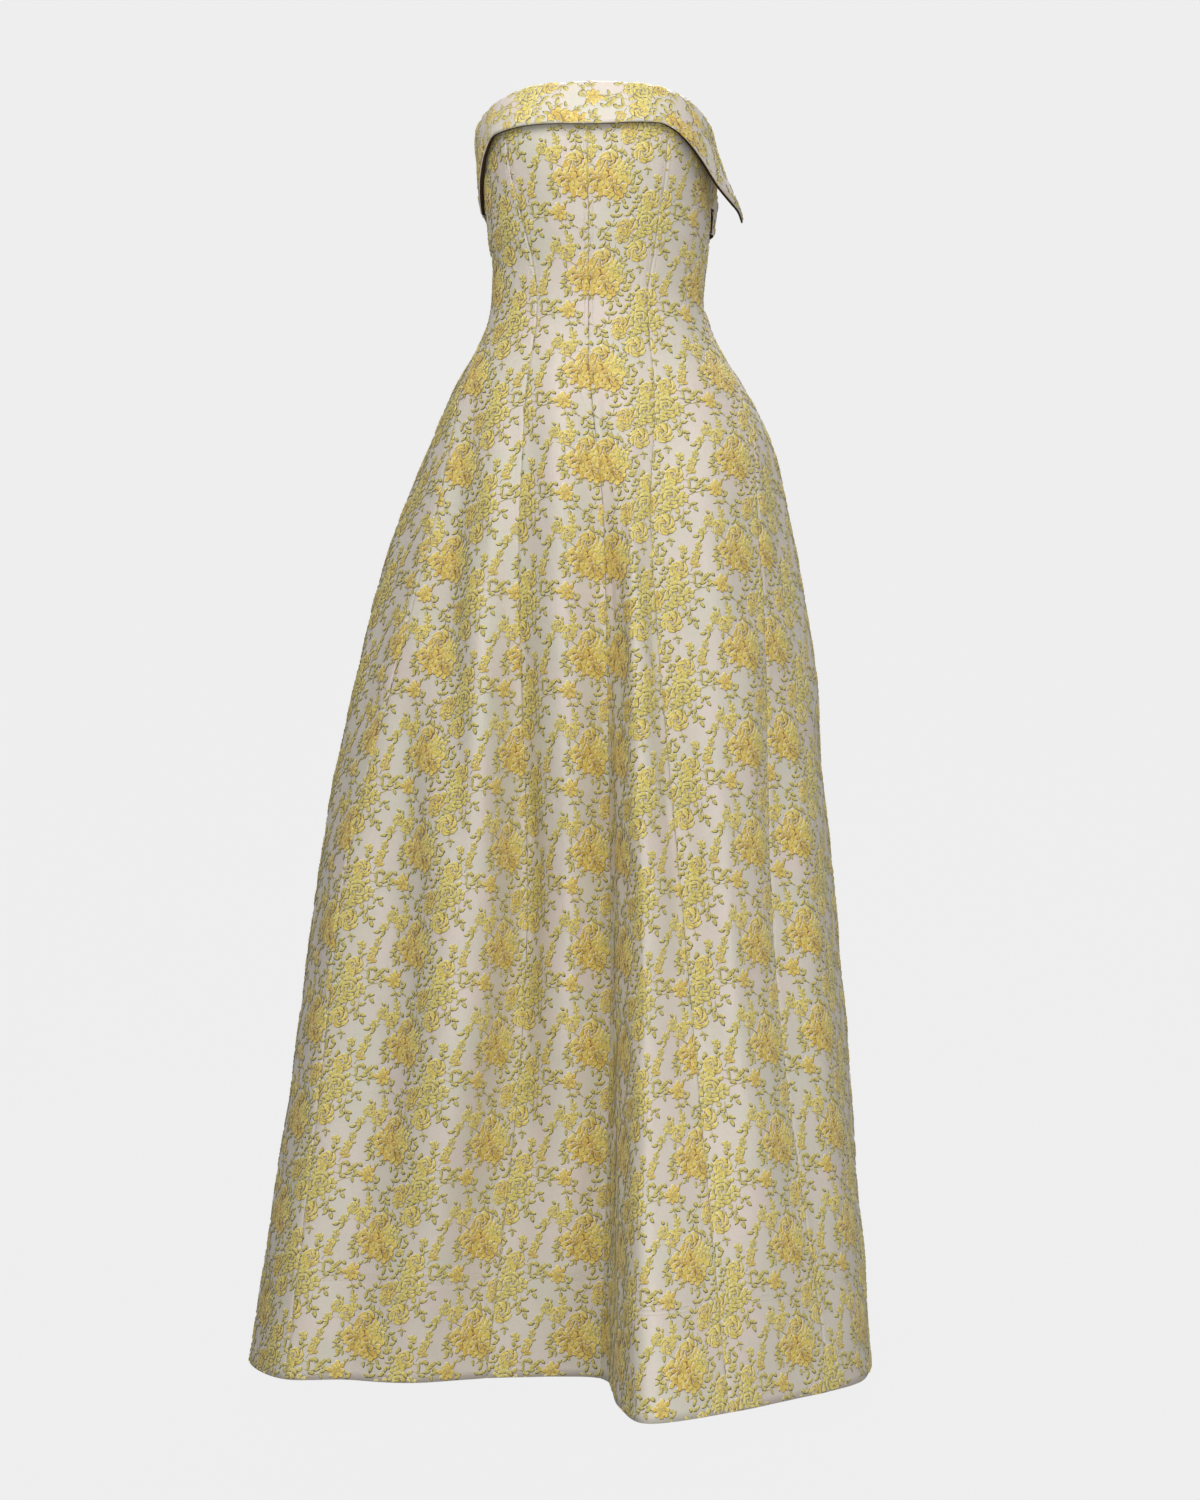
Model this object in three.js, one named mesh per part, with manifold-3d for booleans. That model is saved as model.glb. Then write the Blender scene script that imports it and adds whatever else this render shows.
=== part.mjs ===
// A strapless full-length gown in floral brocade, standing hollow in the shape it takes when worn.
// Eight full-length princess panels run from the neckline to the hem with no waist seam. A folded cuff
// rolls over the neckline and ends in a free point over the wearer's left side. A concealed zip closes
// the centre-back seam, and its pull hangs in the slit between the two back ends of the cuff.
// Millimetres, +Z up, -Y to the front, +X to the wearer's left. The origin is the centre of the waist.

import * as THREE from "three";
import Module from "manifold-3d";

const wasm = await Module();
wasm.setup();

// ---- Driving dimensions ----

const CLOTH = 1.6; // brocade with its interlining
const SEAM_GAP = 0.3; // between two panels
const SEAT_GAP = 0.7; // between a panel and what lies on it
const HEM_DROP = 1164; // waist to hem
const HIP_DROP = 264; // waist to the hip sections of the folds
const KNEE_DROP = 700; // waist to the knee sections of the folds
const BUST_HEIGHT = 150; // waist to the fullest part of the bust
const BUST_CUP = 9; // how far each cup stands out of the plain section
const BUST_CUP_HEIGHT = 58; // how far up and down a cup fades out
const BUST_CUP_WIDTH = 21; // degrees of bearing over which a cup fades out
const BUST_CUP_BEARINGS = [-40, 30]; // the body is turned a little to the wearer's right

const BODICE_ROWS = 8;
const SKIRT_ROWS = 16;
const SKIRT_ROW_SPREAD = 1.35; // above 1, the rows lie closer near the waist
const COLUMNS_PER_FOLD = 3;

// Half widths and depths of the gown at each height. Below the waist the folds set the depth.
const SECTIONS = [
  { z: 219, left: 120, right: 125, front: 97, back: 96 },
  { z: 180, left: 124, right: 131, front: 105, back: 101 },
  { z: 150, left: 124, right: 128, front: 110, back: 104 },
  { z: 66, left: 122, right: 120, front: 101, back: 97 },
  { z: 30, left: 118, right: 115, front: 94, back: 89 },
  { z: 0, left: 115, right: 116, front: 90, back: 86 },
  { z: -35, left: 125, right: 124 },
  { z: -62, left: 138, right: 138 },
  { z: -100, left: 163, right: 160 },
  { z: -165, left: 194, right: 188 },
  { z: -264, left: 216, right: 227 },
  { z: -396, left: 238, right: 263 },
  { z: -594, left: 258, right: 304 },
  { z: -858, left: 279, right: 338 },
  { z: -1164, left: 296, right: 383 },
];

// The ridges and valleys of the gown, anticlockwise from above, from the wearer's right side round the front.
// waist and bust are bearings in degrees from the front; only seams need a bust bearing of their own.
// across is a share of the half width on that side, forward is in mm, at hip, knee and hem.
const FOLDS = [
  { name: "right_edge", waist: -97, hipAcross: -1, hip: -15, kneeAcross: -1, knee: -10, hemAcross: -1, hem: 5 },
  { name: "right_side_seam", waist: -82, bust: -84, hipAcross: -0.8, hip: 62, kneeAcross: -0.89, knee: 66, hemAcross: -0.87, hem: 108 },
  { name: "right_hollow", waist: -68, hipAcross: -0.69, hip: 78, kneeAcross: -0.68, knee: 84, hemAcross: -0.71, hem: 110 },
  { name: "right_ridge", waist: -52, hipAcross: -0.51, hip: 116, kneeAcross: -0.44, knee: 140, hemAcross: -0.53, hem: 127 },
  { name: "right_princess_seam", waist: -35, bust: -50, hipAcross: -0.37, hip: 114, kneeAcross: -0.24, knee: 78, hemAcross: -0.31, hem: 103 },
  { name: "right_front_ridge", waist: -20, hipAcross: -0.18, hip: 143, kneeAcross: -0.09, knee: 120, hemAcross: -0.11, hem: 96 },
  { name: "front_seam", waist: -5, bust: -5, hipAcross: 0.03, hip: 124, kneeAcross: 0.05, knee: 90, hemAcross: 0.007, hem: 104 },
  { name: "front_fold_wall", waist: 3, hipAcross: 0.09, hip: 134, kneeAcross: 0.085, knee: 134, hemAcross: 0.075, hem: 244 },
  { name: "left_front_ridge", waist: 12, hipAcross: 0.16, hip: 146, kneeAcross: 0.175, knee: 188, hemAcross: 0.16, hem: 312 },
  { name: "left_princess_seam", waist: 28, bust: 37, hipAcross: 0.26, hip: 133, kneeAcross: 0.345, knee: 160, hemAcross: 0.45, hem: 264 },
  { name: "left_ridge", waist: 50, hipAcross: 0.52, hip: 138, kneeAcross: 0.53, knee: 172, hemAcross: 0.66, hem: 210 },
  { name: "left_side_seam", waist: 78, bust: 81, hipAcross: 0.8, hip: 84, kneeAcross: 0.7, knee: 118, hemAcross: 0.82, hem: 166 },
  { name: "left_corner", waist: 87, hipAcross: 0.92, hip: 46, kneeAcross: 0.87, knee: 90, hemAcross: 0.94, hem: 120 },
  { name: "left_edge", waist: 97, hipAcross: 1, hip: -12, kneeAcross: 1, knee: 5, hemAcross: 1, hem: 30 },
  { name: "left_back_hollow", waist: 109, hipAcross: 0.93, hip: -64, kneeAcross: 0.92, knee: -70, hemAcross: 0.94, hem: -74 },
  { name: "left_back_ridge", waist: 121, hipAcross: 0.8, hip: -100, kneeAcross: 0.84, knee: -130, hemAcross: 0.86, hem: -170 },
  { name: "left_back_seam", waist: 134, bust: 131, hipAcross: 0.62, hip: -124, kneeAcross: 0.65, knee: -156, hemAcross: 0.66, hem: -206 },
  { name: "left_rear_ridge", waist: 146, hipAcross: 0.46, hip: -146, kneeAcross: 0.48, knee: -200, hemAcross: 0.49, hem: -278 },
  { name: "left_rear_hollow", waist: 158, hipAcross: 0.29, hip: -151, kneeAcross: 0.3, knee: -196, hemAcross: 0.31, hem: -268 },
  { name: "left_centre_ridge", waist: 170, hipAcross: 0.13, hip: -160, kneeAcross: 0.15, knee: -224, hemAcross: 0.16, hem: -316 },
  { name: "back_seam", waist: 180, bust: 180, hipAcross: 0, hip: -157, kneeAcross: 0, knee: -204, hemAcross: 0, hem: -286 },
  { name: "right_centre_ridge", waist: 190, hipAcross: -0.12, hip: -160, kneeAcross: -0.13, knee: -221, hemAcross: -0.13, hem: -312 },
  { name: "right_rear_hollow", waist: 202, hipAcross: -0.28, hip: -152, kneeAcross: -0.27, knee: -198, hemAcross: -0.26, hem: -272 },
  { name: "right_rear_ridge", waist: 214, hipAcross: -0.45, hip: -147, kneeAcross: -0.43, knee: -206, hemAcross: -0.42, hem: -288 },
  { name: "right_back_seam", waist: 226, bust: 229, hipAcross: -0.6, hip: -125, kneeAcross: -0.59, knee: -162, hemAcross: -0.58, hem: -222 },
  { name: "right_back_ridge", waist: 239, hipAcross: -0.78, hip: -101, kneeAcross: -0.79, knee: -142, hemAcross: -0.78, hem: -196 },
  { name: "right_back_hollow", waist: 251, hipAcross: -0.91, hip: -60, kneeAcross: -0.91, knee: -80, hemAcross: -0.93, hem: -98 },
];

// Each panel runs from one seam to the next.
const PANELS = [
  { name: "side_front_right", from: "right_side_seam", to: "right_princess_seam" },
  { name: "front_right", from: "right_princess_seam", to: "front_seam" },
  { name: "front_left", from: "front_seam", to: "left_princess_seam" },
  { name: "side_front_left", from: "left_princess_seam", to: "left_side_seam" },
  { name: "side_back_left", from: "left_side_seam", to: "left_back_seam" },
  { name: "back_left", from: "left_back_seam", to: "back_seam" },
  { name: "back_right", from: "back_seam", to: "right_back_seam" },
  { name: "side_back_right", from: "right_back_seam", to: "right_side_seam" },
];

// Height of the cuff's rolled top at each bearing from the neckline's peak, which is a little to the wearer's right.
const NECKLINE_PEAK = -2;
const NECKLINE = [
  { bearing: 0, z: 219 },
  { bearing: 30, z: 216 },
  { bearing: 55, z: 206 },
  { bearing: 75, z: 189 },
  { bearing: 92, z: 168 },
  { bearing: 120, z: 154 },
  { bearing: 180, z: 150 },
];

// The cuff.
const CUFF_CLOTH = 2.4; // two layers
const CUFF_ARCH = 3.4; // height of the roll over the neckline
const CUFF_TUCK = 15; // how far the inner leg reaches down inside
const CUFF_LEG_GAP = 1.6; // between the panel and the outer leg, at the roll
const CUFF_ARCH_STEPS = 4;
const CUFF_LEG_STEPS = 6;
const CUFF_COLUMNS_PER_FOLD = 1.5; // every second column of the panels
const MERGE = 0.3; // share of a column that an end column may not come nearer than
const CUFF_SLIT = 7; // between the back ends, for the zip pull

// Height of the front cuff's lower edge, and how far it stands off the panels there.
const FRONT_CUFF = [
  { bearing: -96, z: 95, off: 3, skew: 0 },
  { bearing: -86, z: 111, off: 3, skew: 0 },
  { bearing: -75, z: 131, off: 4, skew: 0 },
  { bearing: -64, z: 152, off: 5, skew: 0 },
  { bearing: -52, z: 166, off: 6, skew: 0 },
  { bearing: -30, z: 170, off: 6, skew: 0 },
  { bearing: 0, z: 169, off: 6, skew: 0 },
  { bearing: 30, z: 172, off: 6, skew: 0 },
  { bearing: 38, z: 166, off: 7, skew: 0 },
  { bearing: 46, z: 152, off: 9, skew: 1 },
  { bearing: 54, z: 134, off: 13, skew: 2 },
  { bearing: 62, z: 114, off: 19, skew: 4 },
  { bearing: 72, z: 98, off: 27, skew: 8 },
  { bearing: 84, z: 87, off: 34, skew: 12 },
];
const BACK_CUFF = [
  { bearing: 86, z: 72, off: 11 },
  { bearing: 104, z: 70, off: 9 },
  { bearing: 140, z: 72, off: 6 },
  { bearing: 220, z: 74, off: 6 },
  { bearing: 250, z: 82, off: 5 },
  { bearing: 263.7, z: 94, off: 5 },
];

// The zip.
const ZIP_WIDTH = 24;
const ZIP_THICK = 1.2;
const ZIP_TOP = 128;
const ZIP_BOTTOM = -190;
const ZIP_ROWS = 14;
const SLIDER = { width: 5, height: 8, thick: 2.2, top: 138, pinDrop: 4, pinOut: 5, pinRadius: 0.45 };
const EAR = { thick: 0.8, gap: 2.4, radius: 1.5 };
const PULL = { width: 4.4, length: 20, thick: 1, neck: 1.5, eyeRadius: 1.75, eyeBore: 0.8, shoulder: 3.4 };

// ---- Curves ----

const radians = THREE.MathUtils.degToRad;

// A smooth curve through a table's points that never overshoots them.
function monotone(xs, ys) {
  const steps = xs.slice(1).map((x, i) => (ys[i + 1] - ys[i]) / (x - xs[i]));
  const slopes = xs.map((_, i) => {
    if (i === 0) return steps[0];
    if (i === xs.length - 1) return steps.at(-1);
    const before = steps[i - 1];
    const after = steps[i];
    if (before * after <= 0) return 0;
    const a = xs[i] - xs[i - 1];
    const b = xs[i + 1] - xs[i];
    return (3 * (a + b)) / ((2 * b + a) / before + (b + 2 * a) / after);
  });
  return (x) => {
    if (x <= xs[0]) return ys[0];
    if (x >= xs.at(-1)) return ys.at(-1);
    const i = xs.findIndex((knot, k) => x < xs[k + 1]);
    const span = xs[i + 1] - xs[i];
    const t = (x - xs[i]) / span;
    const u = 1 - t;
    return (
      ys[i] * (1 + 2 * t) * u * u +
      slopes[i] * span * t * u * u +
      ys[i + 1] * t * t * (3 - 2 * t) -
      slopes[i + 1] * span * t * t * u
    );
  };
}

// A column of a table against another, read upwards.
function column(table, key, value) {
  const rows = table.filter((row) => row[value] !== undefined).sort((a, b) => a[key] - b[key]);
  return monotone(
    rows.map((row) => row[key]),
    rows.map((row) => row[value]),
  );
}

const leftWidth = column(SECTIONS, "z", "left");
const rightWidth = column(SECTIONS, "z", "right");
const frontDepth = column(SECTIONS, "z", "front");
const backDepth = column(SECTIONS, "z", "back");
const neckline = column(NECKLINE, "bearing", "z");

// Height of the cuff's top at a bearing in degrees.
function cuffTop(bearing) {
  const turned = Math.abs((((bearing - NECKLINE_PEAK) % 360) + 540) % 360 - 180);
  return neckline(turned);
}

// Height of the panels' top edge, inside the roll of the cuff.
const panelTop = (bearing) => cuffTop(bearing) - CUFF_CLOTH / 2 - CUFF_ARCH;

// ---- The gown's outer surface ----

const isSeam = (fold) => fold.bust !== undefined;

// A fold between two seams keeps its share of the way from one to the other, up to the bust.
function bustBearing(index) {
  const fold = FOLDS[index];
  if (isSeam(fold)) return fold.bust;
  const step = (i, by) => (i + by + FOLDS.length) % FOLDS.length;
  let before = index;
  let after = index;
  while (!isSeam(FOLDS[before])) before = step(before, -1);
  while (!isSeam(FOLDS[after])) after = step(after, 1);
  const unwrap = (angle, near) => angle + 360 * Math.round((near - angle) / 360);
  const low = FOLDS[before];
  const high = FOLDS[after];
  const lowWaist = unwrap(low.waist, fold.waist);
  const highWaist = unwrap(high.waist, fold.waist);
  const share = (fold.waist - lowWaist) / (highWaist - lowWaist);
  const lowBust = unwrap(low.bust, fold.waist);
  return lowBust + share * (unwrap(high.bust, fold.waist) - lowBust);
}

// How far a bust cup brings the front forward.
function cup(bearing, z) {
  const height = Math.exp(-(((z - BUST_HEIGHT) / BUST_CUP_HEIGHT) ** 2));
  const width = BUST_CUP_BEARINGS.map((b) => Math.exp(-(((bearing - b) / BUST_CUP_WIDTH) ** 2)));
  return BUST_CUP * height * Math.max(...width);
}

// Each fold's course down the gown.
const COURSES = FOLDS.map((fold, index) => {
  const bust = bustBearing(index);
  const bearing = (z) => THREE.MathUtils.mapLinear(Math.min(z, BUST_HEIGHT), 0, BUST_HEIGHT, fold.waist, bust);
  const levels = [
    { z: -HEM_DROP, across: fold.hemAcross, forward: fold.hem },
    { z: -KNEE_DROP, across: fold.kneeAcross, forward: fold.knee },
    { z: -HIP_DROP, across: fold.hipAcross, forward: fold.hip },
  ];
  for (const { z } of SECTIONS.filter((section) => section.front !== undefined)) {
    const angle = radians(bearing(z));
    const depth = Math.cos(angle) > 0 ? frontDepth(z) : backDepth(z);
    levels.push({ z, across: Math.sin(angle), forward: Math.cos(angle) * depth + cup(bearing(z), z) });
  }
  return { bust, across: column(levels, "z", "across"), forward: column(levels, "z", "forward") };
});

// Where a fold crosses a height.
function foldPoint(course, z) {
  const across = course.across(z);
  return new THREE.Vector3(across * (across < 0 ? rightWidth(z) : leftWidth(z)), -course.forward(z), z);
}

// A point of the surface: s counts the folds round the gown, and its fraction lies between two of them.
function surface(s, z) {
  const section = new THREE.CatmullRomCurve3(
    COURSES.map((course) => foldPoint(course, z)),
    true,
    "centripetal",
  );
  return section.getPoint(((s / FOLDS.length) % 1 + 1) % 1);
}

// The bearing at the bust of a place between two folds.
function bearingAt(s) {
  const at = (i) => COURSES[i % FOLDS.length].bust + 360 * Math.floor(i / FOLDS.length);
  const low = Math.floor(s);
  return THREE.MathUtils.lerp(at(low), at(low + 1), s - low);
}

const STEP = 0.02;

function alongAt(s, z) {
  return surface(s + STEP, z).sub(surface(s - STEP, z)).normalize();
}

function outwardAt(s, z) {
  const up = surface(s, z + 1).sub(surface(s, z - 1));
  return alongAt(s, z).cross(up).normalize();
}

// ---- Solids ----

// A closed solid between two grids of points, whose rows run down and whose columns run anticlockwise from above.
function closedSheet(outer, inner) {
  const rows = outer.length;
  const columns = outer[0].length;
  const points = [...outer.flat(), ...inner.flat()];
  const out = (r, c) => r * columns + c;
  const back = (r, c) => rows * columns + out(r, c);
  const index = [];
  const quad = (a, b, c, d) => index.push(a, b, c, a, c, d);
  for (let r = 0; r < rows - 1; r++) {
    for (let c = 0; c < columns - 1; c++) {
      quad(out(r, c), out(r + 1, c), out(r + 1, c + 1), out(r, c + 1));
      quad(back(r, c), back(r, c + 1), back(r + 1, c + 1), back(r + 1, c));
    }
  }
  const rim = [];
  for (let c = 0; c < columns - 1; c++) rim.push([0, c]);
  for (let r = 0; r < rows - 1; r++) rim.push([r, columns - 1]);
  for (let c = columns - 1; c > 0; c--) rim.push([rows - 1, c]);
  for (let r = rows - 1; r > 0; r--) rim.push([r, 0]);
  rim.forEach((at, i) => {
    const next = rim[(i + 1) % rim.length];
    quad(out(...at), out(...next), back(...next), back(...at));
  });
  return new THREE.BufferGeometry().setFromPoints(points).setIndex(index);
}

// The two faces of a sheet of the given thickness whose middle is the grid.
function thicken(grid, thickness) {
  const at = (r, c) => grid[Math.min(Math.max(r, 0), grid.length - 1)][Math.min(Math.max(c, 0), grid[0].length - 1)];
  const face = (offset) =>
    grid.map((row, r) =>
      row.map((point, c) => {
        const along = at(r, c + 1).clone().sub(at(r, c - 1));
        const up = at(r - 1, c).clone().sub(at(r + 1, c));
        return point.clone().addScaledVector(along.cross(up).normalize(), offset);
      }),
    );
  return closedSheet(face(thickness / 2), face(-thickness / 2));
}

// Height of a panel's row at a bearing.
function rowHeight(row, bearing) {
  if (row <= BODICE_ROWS) return panelTop(bearing) * (1 - row / BODICE_ROWS);
  return -HEM_DROP * ((row - BODICE_ROWS) / SKIRT_ROWS) ** SKIRT_ROW_SPREAD;
}

const foldIndex = (name) => FOLDS.findIndex((fold) => fold.name === name);

function panel({ from, to }) {
  const start = foldIndex(from);
  const end = foldIndex(to) + (foldIndex(to) < start ? FOLDS.length : 0);
  const columns = (end - start) * COLUMNS_PER_FOLD;
  const outer = [];
  const inner = [];
  for (let row = 0; row <= BODICE_ROWS + SKIRT_ROWS; row++) {
    outer.push([]);
    inner.push([]);
    for (let c = 0; c <= columns; c++) {
      const s = start + c / COLUMNS_PER_FOLD;
      const z = rowHeight(row, bearingAt(s));
      const point = surface(s, z);
      if (c === 0) point.addScaledVector(alongAt(s, z), SEAM_GAP / 2);
      if (c === columns) point.addScaledVector(alongAt(s, z), -SEAM_GAP / 2);
      outer[row].push(point);
      inner[row].push(point.clone().addScaledVector(outwardAt(s, z), -CLOTH));
    }
  }
  return closedSheet(outer, inner);
}

// The place between two folds that has a bearing at the bust.
function placeAt(bearing) {
  const turns = Math.floor((bearing - bearingAt(0)) / 360);
  const angle = bearing - 360 * turns;
  let low = 0;
  while (bearingAt(low + 1) <= angle) low++;
  const share = (angle - bearingAt(low)) / (bearingAt(low + 1) - bearingAt(low));
  return turns * FOLDS.length + low + share;
}

// A point that stands off the gown's surface, level with it.
function standOff(s, z, off) {
  const along = alongAt(s, z);
  return surface(s, z).addScaledVector(new THREE.Vector3(along.y, -along.x, 0).normalize(), off);
}

// A cuff's grid: up the inner leg, over the roll and down the outer leg. Its columns stand on the panels' columns.
function cuff(table, from, to) {
  const lower = column(table, "bearing", "z");
  const flare = column(table, "bearing", "off");
  const skew = table[0].skew === undefined ? () => 0 : column(table, "bearing", "skew");
  const first = Math.ceil(placeAt(from) * CUFF_COLUMNS_PER_FOLD + MERGE);
  const last = Math.floor(placeAt(to) * CUFF_COLUMNS_PER_FOLD - MERGE);
  const between = Array.from({ length: last - first + 1 }, (_, i) => bearingAt((first + i) / CUFF_COLUMNS_PER_FOLD));
  const bearings = [from, ...between, to];
  const insideLeg = -CLOTH - SEAT_GAP - CUFF_CLOTH / 2;
  const outsideLeg = CUFF_LEG_GAP + CUFF_CLOTH / 2;
  const middle = (insideLeg + outsideLeg) / 2;
  const reach = (outsideLeg - insideLeg) / 2;
  const grid = [bearings.map((b) => standOff(placeAt(b), panelTop(b) - CUFF_TUCK, insideLeg))];
  for (let i = 0; i <= CUFF_ARCH_STEPS; i++) {
    const turn = (Math.PI * i) / CUFF_ARCH_STEPS;
    const off = middle - reach * Math.cos(turn);
    grid.push(bearings.map((b) => {
      const point = standOff(placeAt(b), panelTop(b), off);
      point.z += CUFF_ARCH * Math.sin(turn);
      return point;
    }));
  }
  for (let i = 1; i <= CUFF_LEG_STEPS; i++) {
    const share = i / CUFF_LEG_STEPS;
    grid.push(bearings.map((b) => {
      const z = THREE.MathUtils.lerp(panelTop(b), lower(b), share);
      return standOff(placeAt(b + skew(b) * share ** 2), z, outsideLeg + flare(b) * share ** 1.3);
    }));
  }
  return thicken(grid, CUFF_CLOTH);
}

// Half the angle that a length takes at the centre back.
const halfAngle = (length) => THREE.MathUtils.radToDeg(length / 2 / leftWidth(BUST_HEIGHT));

// The closed zip, a strip behind the centre-back seam.
function zip() {
  const seam = foldIndex("back_seam");
  const off = CLOTH + SEAT_GAP + ZIP_THICK / 2;
  const grid = [];
  for (let row = 0; row <= ZIP_ROWS; row++) {
    const z = THREE.MathUtils.lerp(ZIP_TOP, ZIP_BOTTOM, row / ZIP_ROWS);
    const perFold = surface(seam + 0.5, z).distanceTo(surface(seam - 0.5, z));
    grid.push([-1, -0.5, 0, 0.5, 1].map((share) => {
      const s = seam + (share * ZIP_WIDTH) / 2 / perFold;
      return surface(s, z).addScaledVector(outwardAt(s, z), -off);
    }));
  }
  return thicken(grid, ZIP_THICK);
}

// A flat outline in the Y-Z plane, or with upright set in the X-Z plane, made solid and centred on the origin.
function slab(shape, thick, upright) {
  const geometry = new THREE.ExtrudeGeometry(shape, { depth: thick, bevelEnabled: false, curveSegments: 6 });
  geometry.translate(0, 0, -thick / 2).rotateX(Math.PI / 2);
  return upright ? geometry : geometry.rotateZ(Math.PI / 2);
}

const ROUND_STEPS = 8;

function roundedBar(width, low, high) {
  const radius = width / 2;
  const end = (z, start) =>
    Array.from({ length: ROUND_STEPS + 1 }, (_, i) => {
      const angle = start + (Math.PI * i) / ROUND_STEPS;
      return new THREE.Vector2(radius * Math.cos(angle), z + radius * Math.sin(angle));
    });
  return new THREE.Shape([...end(high - radius, 0), ...end(low + radius, Math.PI)]);
}

function rectangle(left, right, low, high) {
  return new THREE.Shape([
    new THREE.Vector2(left, low),
    new THREE.Vector2(right, low),
    new THREE.Vector2(right, high),
    new THREE.Vector2(left, high),
  ]);
}

function asSolid(geometry) {
  const points = geometry.getAttribute("position");
  const corners = new Map();
  const places = [];
  const index = [];
  for (let i = 0; i < points.count; i++) {
    const at = [points.getX(i), points.getY(i), points.getZ(i)];
    const key = at.map((value) => Math.round(value * 1e4)).join();
    if (!corners.has(key)) {
      corners.set(key, places.length / 3);
      places.push(...at);
    }
    index.push(corners.get(key));
  }
  return new wasm.Manifold(
    new wasm.Mesh({ numProp: 3, vertProperties: new Float32Array(places), triVerts: new Uint32Array(index) }),
  );
}

function joined(pieces, bores = []) {
  let solid = pieces.map(asSolid).reduce((all, next) => all.add(next));
  for (const bore of bores) solid = solid.subtract(asSolid(bore));
  const { vertProperties, triVerts } = solid.getMesh();
  return new THREE.BufferGeometry()
    .setAttribute("position", new THREE.BufferAttribute(vertProperties, 3))
    .setIndex(new THREE.BufferAttribute(triVerts, 1));
}

// A cylinder along X.
const rod = (radius, length) => new THREE.CylinderGeometry(radius, radius, length, 12).toNonIndexed().rotateZ(Math.PI / 2);

// The zip's slider, about its hinge pin: a shoe that lies on the seam, two ears, and the pin between them.
function slider() {
  const { width, height, thick, pinDrop, pinOut } = SLIDER;
  const shoe = slab(rectangle(-width / 2, width / 2, pinDrop - height, pinDrop), thick, true);
  shoe.translate(0, SEAT_GAP + thick / 2 - pinOut, 0);
  const ear = rectangle(SEAT_GAP + thick / 2 - pinOut, EAR.radius, -EAR.radius, EAR.radius);
  const ears = [-1, 1].map((side) =>
    slab(ear, EAR.thick, false).translate((side * (EAR.gap + EAR.thick)) / 2, 0, 0),
  );
  return joined([shoe, ...ears, rod(SLIDER.pinRadius, EAR.gap + 2 * EAR.thick)]);
}

// The pull, about its hinge pin: an eye and a narrow tab that hangs from it.
function pull() {
  const { width, length, thick, neck, eyeRadius, eyeBore, shoulder } = PULL;
  const tab = slab(roundedBar(width, -length, -shoulder), thick, true);
  const stem = slab(rectangle(-neck / 2, neck / 2, -shoulder - neck, -eyeBore - thick / 2), thick, true);
  return joined([tab, stem, rod(eyeRadius, neck)], [rod(eyeBore, 2 * width)]);
}

// ---- Materials ----

const brocade = new THREE.MeshStandardMaterial({ color: 0xc6b98f, roughness: 0.5, metalness: 0 });
const zipTape = new THREE.MeshStandardMaterial({ color: 0xd2c8b8, roughness: 0.8, metalness: 0 });
const zipMetal = new THREE.MeshStandardMaterial({ color: 0xcbb98c, roughness: 0.35, metalness: 0.9 });

// ---- The gown ----

const gown = new THREE.Group();

function add(name, geometry, material, z = 0, y = 0) {
  const mesh = new THREE.Mesh(geometry, material);
  mesh.name = name;
  mesh.position.set(0, y, z);
  gown.add(mesh);
}

for (const { name, ...seams } of PANELS) add(name, panel(seams), brocade);

const sideSeam = FRONT_CUFF[0].bearing;
const slit = halfAngle(CUFF_SLIT);
add("cuff_front", cuff(FRONT_CUFF, sideSeam, FRONT_CUFF.at(-1).bearing), brocade);
add("cuff_back_left", cuff(BACK_CUFF, BACK_CUFF[0].bearing, 180 - slit), brocade);
add("cuff_back_right", cuff(BACK_CUFF, 180 + slit, BACK_CUFF.at(-1).bearing), brocade);

const pinHeight = SLIDER.top - SLIDER.pinDrop;
const pinDepth = backDepth(pinHeight) + SLIDER.pinOut;
add("zip", zip(), zipTape);
add("zip_slider", slider(), zipMetal, pinHeight, pinDepth);
add("zip_pull", pull(), zipMetal, pinHeight, pinDepth);

export default gown;
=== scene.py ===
"""A strapless floor-length gown in floral brocade, with a turned-down cuff at the neckline.

Each panel is a thin shell on its solid's form. The woven flowers and the stitches are laid out flat, in the
cloth's own coordinates, and Geometry Nodes lay them on the shaped panels.
"""

import math

import bpy
import numpy as np
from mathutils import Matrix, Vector


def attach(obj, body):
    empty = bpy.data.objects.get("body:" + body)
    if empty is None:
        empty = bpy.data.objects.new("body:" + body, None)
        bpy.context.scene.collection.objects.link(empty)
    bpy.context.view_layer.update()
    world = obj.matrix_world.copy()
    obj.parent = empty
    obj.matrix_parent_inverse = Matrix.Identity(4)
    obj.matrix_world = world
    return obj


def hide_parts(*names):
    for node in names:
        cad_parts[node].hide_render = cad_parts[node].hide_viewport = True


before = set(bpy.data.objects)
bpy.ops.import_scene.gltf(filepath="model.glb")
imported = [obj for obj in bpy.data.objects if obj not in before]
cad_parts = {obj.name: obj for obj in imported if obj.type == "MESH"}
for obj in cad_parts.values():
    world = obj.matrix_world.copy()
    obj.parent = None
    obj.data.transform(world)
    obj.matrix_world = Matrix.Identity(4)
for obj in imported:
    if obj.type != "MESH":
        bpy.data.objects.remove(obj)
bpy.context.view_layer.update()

bl_info = {
    "name": "Brocade Gown",
    "version": (1, 0, 0),
    "blender": (4, 5, 0),
    "location": "3D View > Sidebar > Gown",
    "description": "Builds a strapless brocade gown on its packed frame",
    "category": "Object",
}

MM = 0.001
GOWN = "gown"  # the body that all the cloth rides on

# ---- The form: the same sections and folds as the solids, in millimetres ----

HEM_DROP = 1164
HIP_DROP = 264
KNEE_DROP = 700
BUST_HEIGHT = 150
BUST_CUP = 9
BUST_CUP_HEIGHT = 58
BUST_CUP_WIDTH = 21
BUST_CUP_BEARINGS = (-40, 30)

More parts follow.
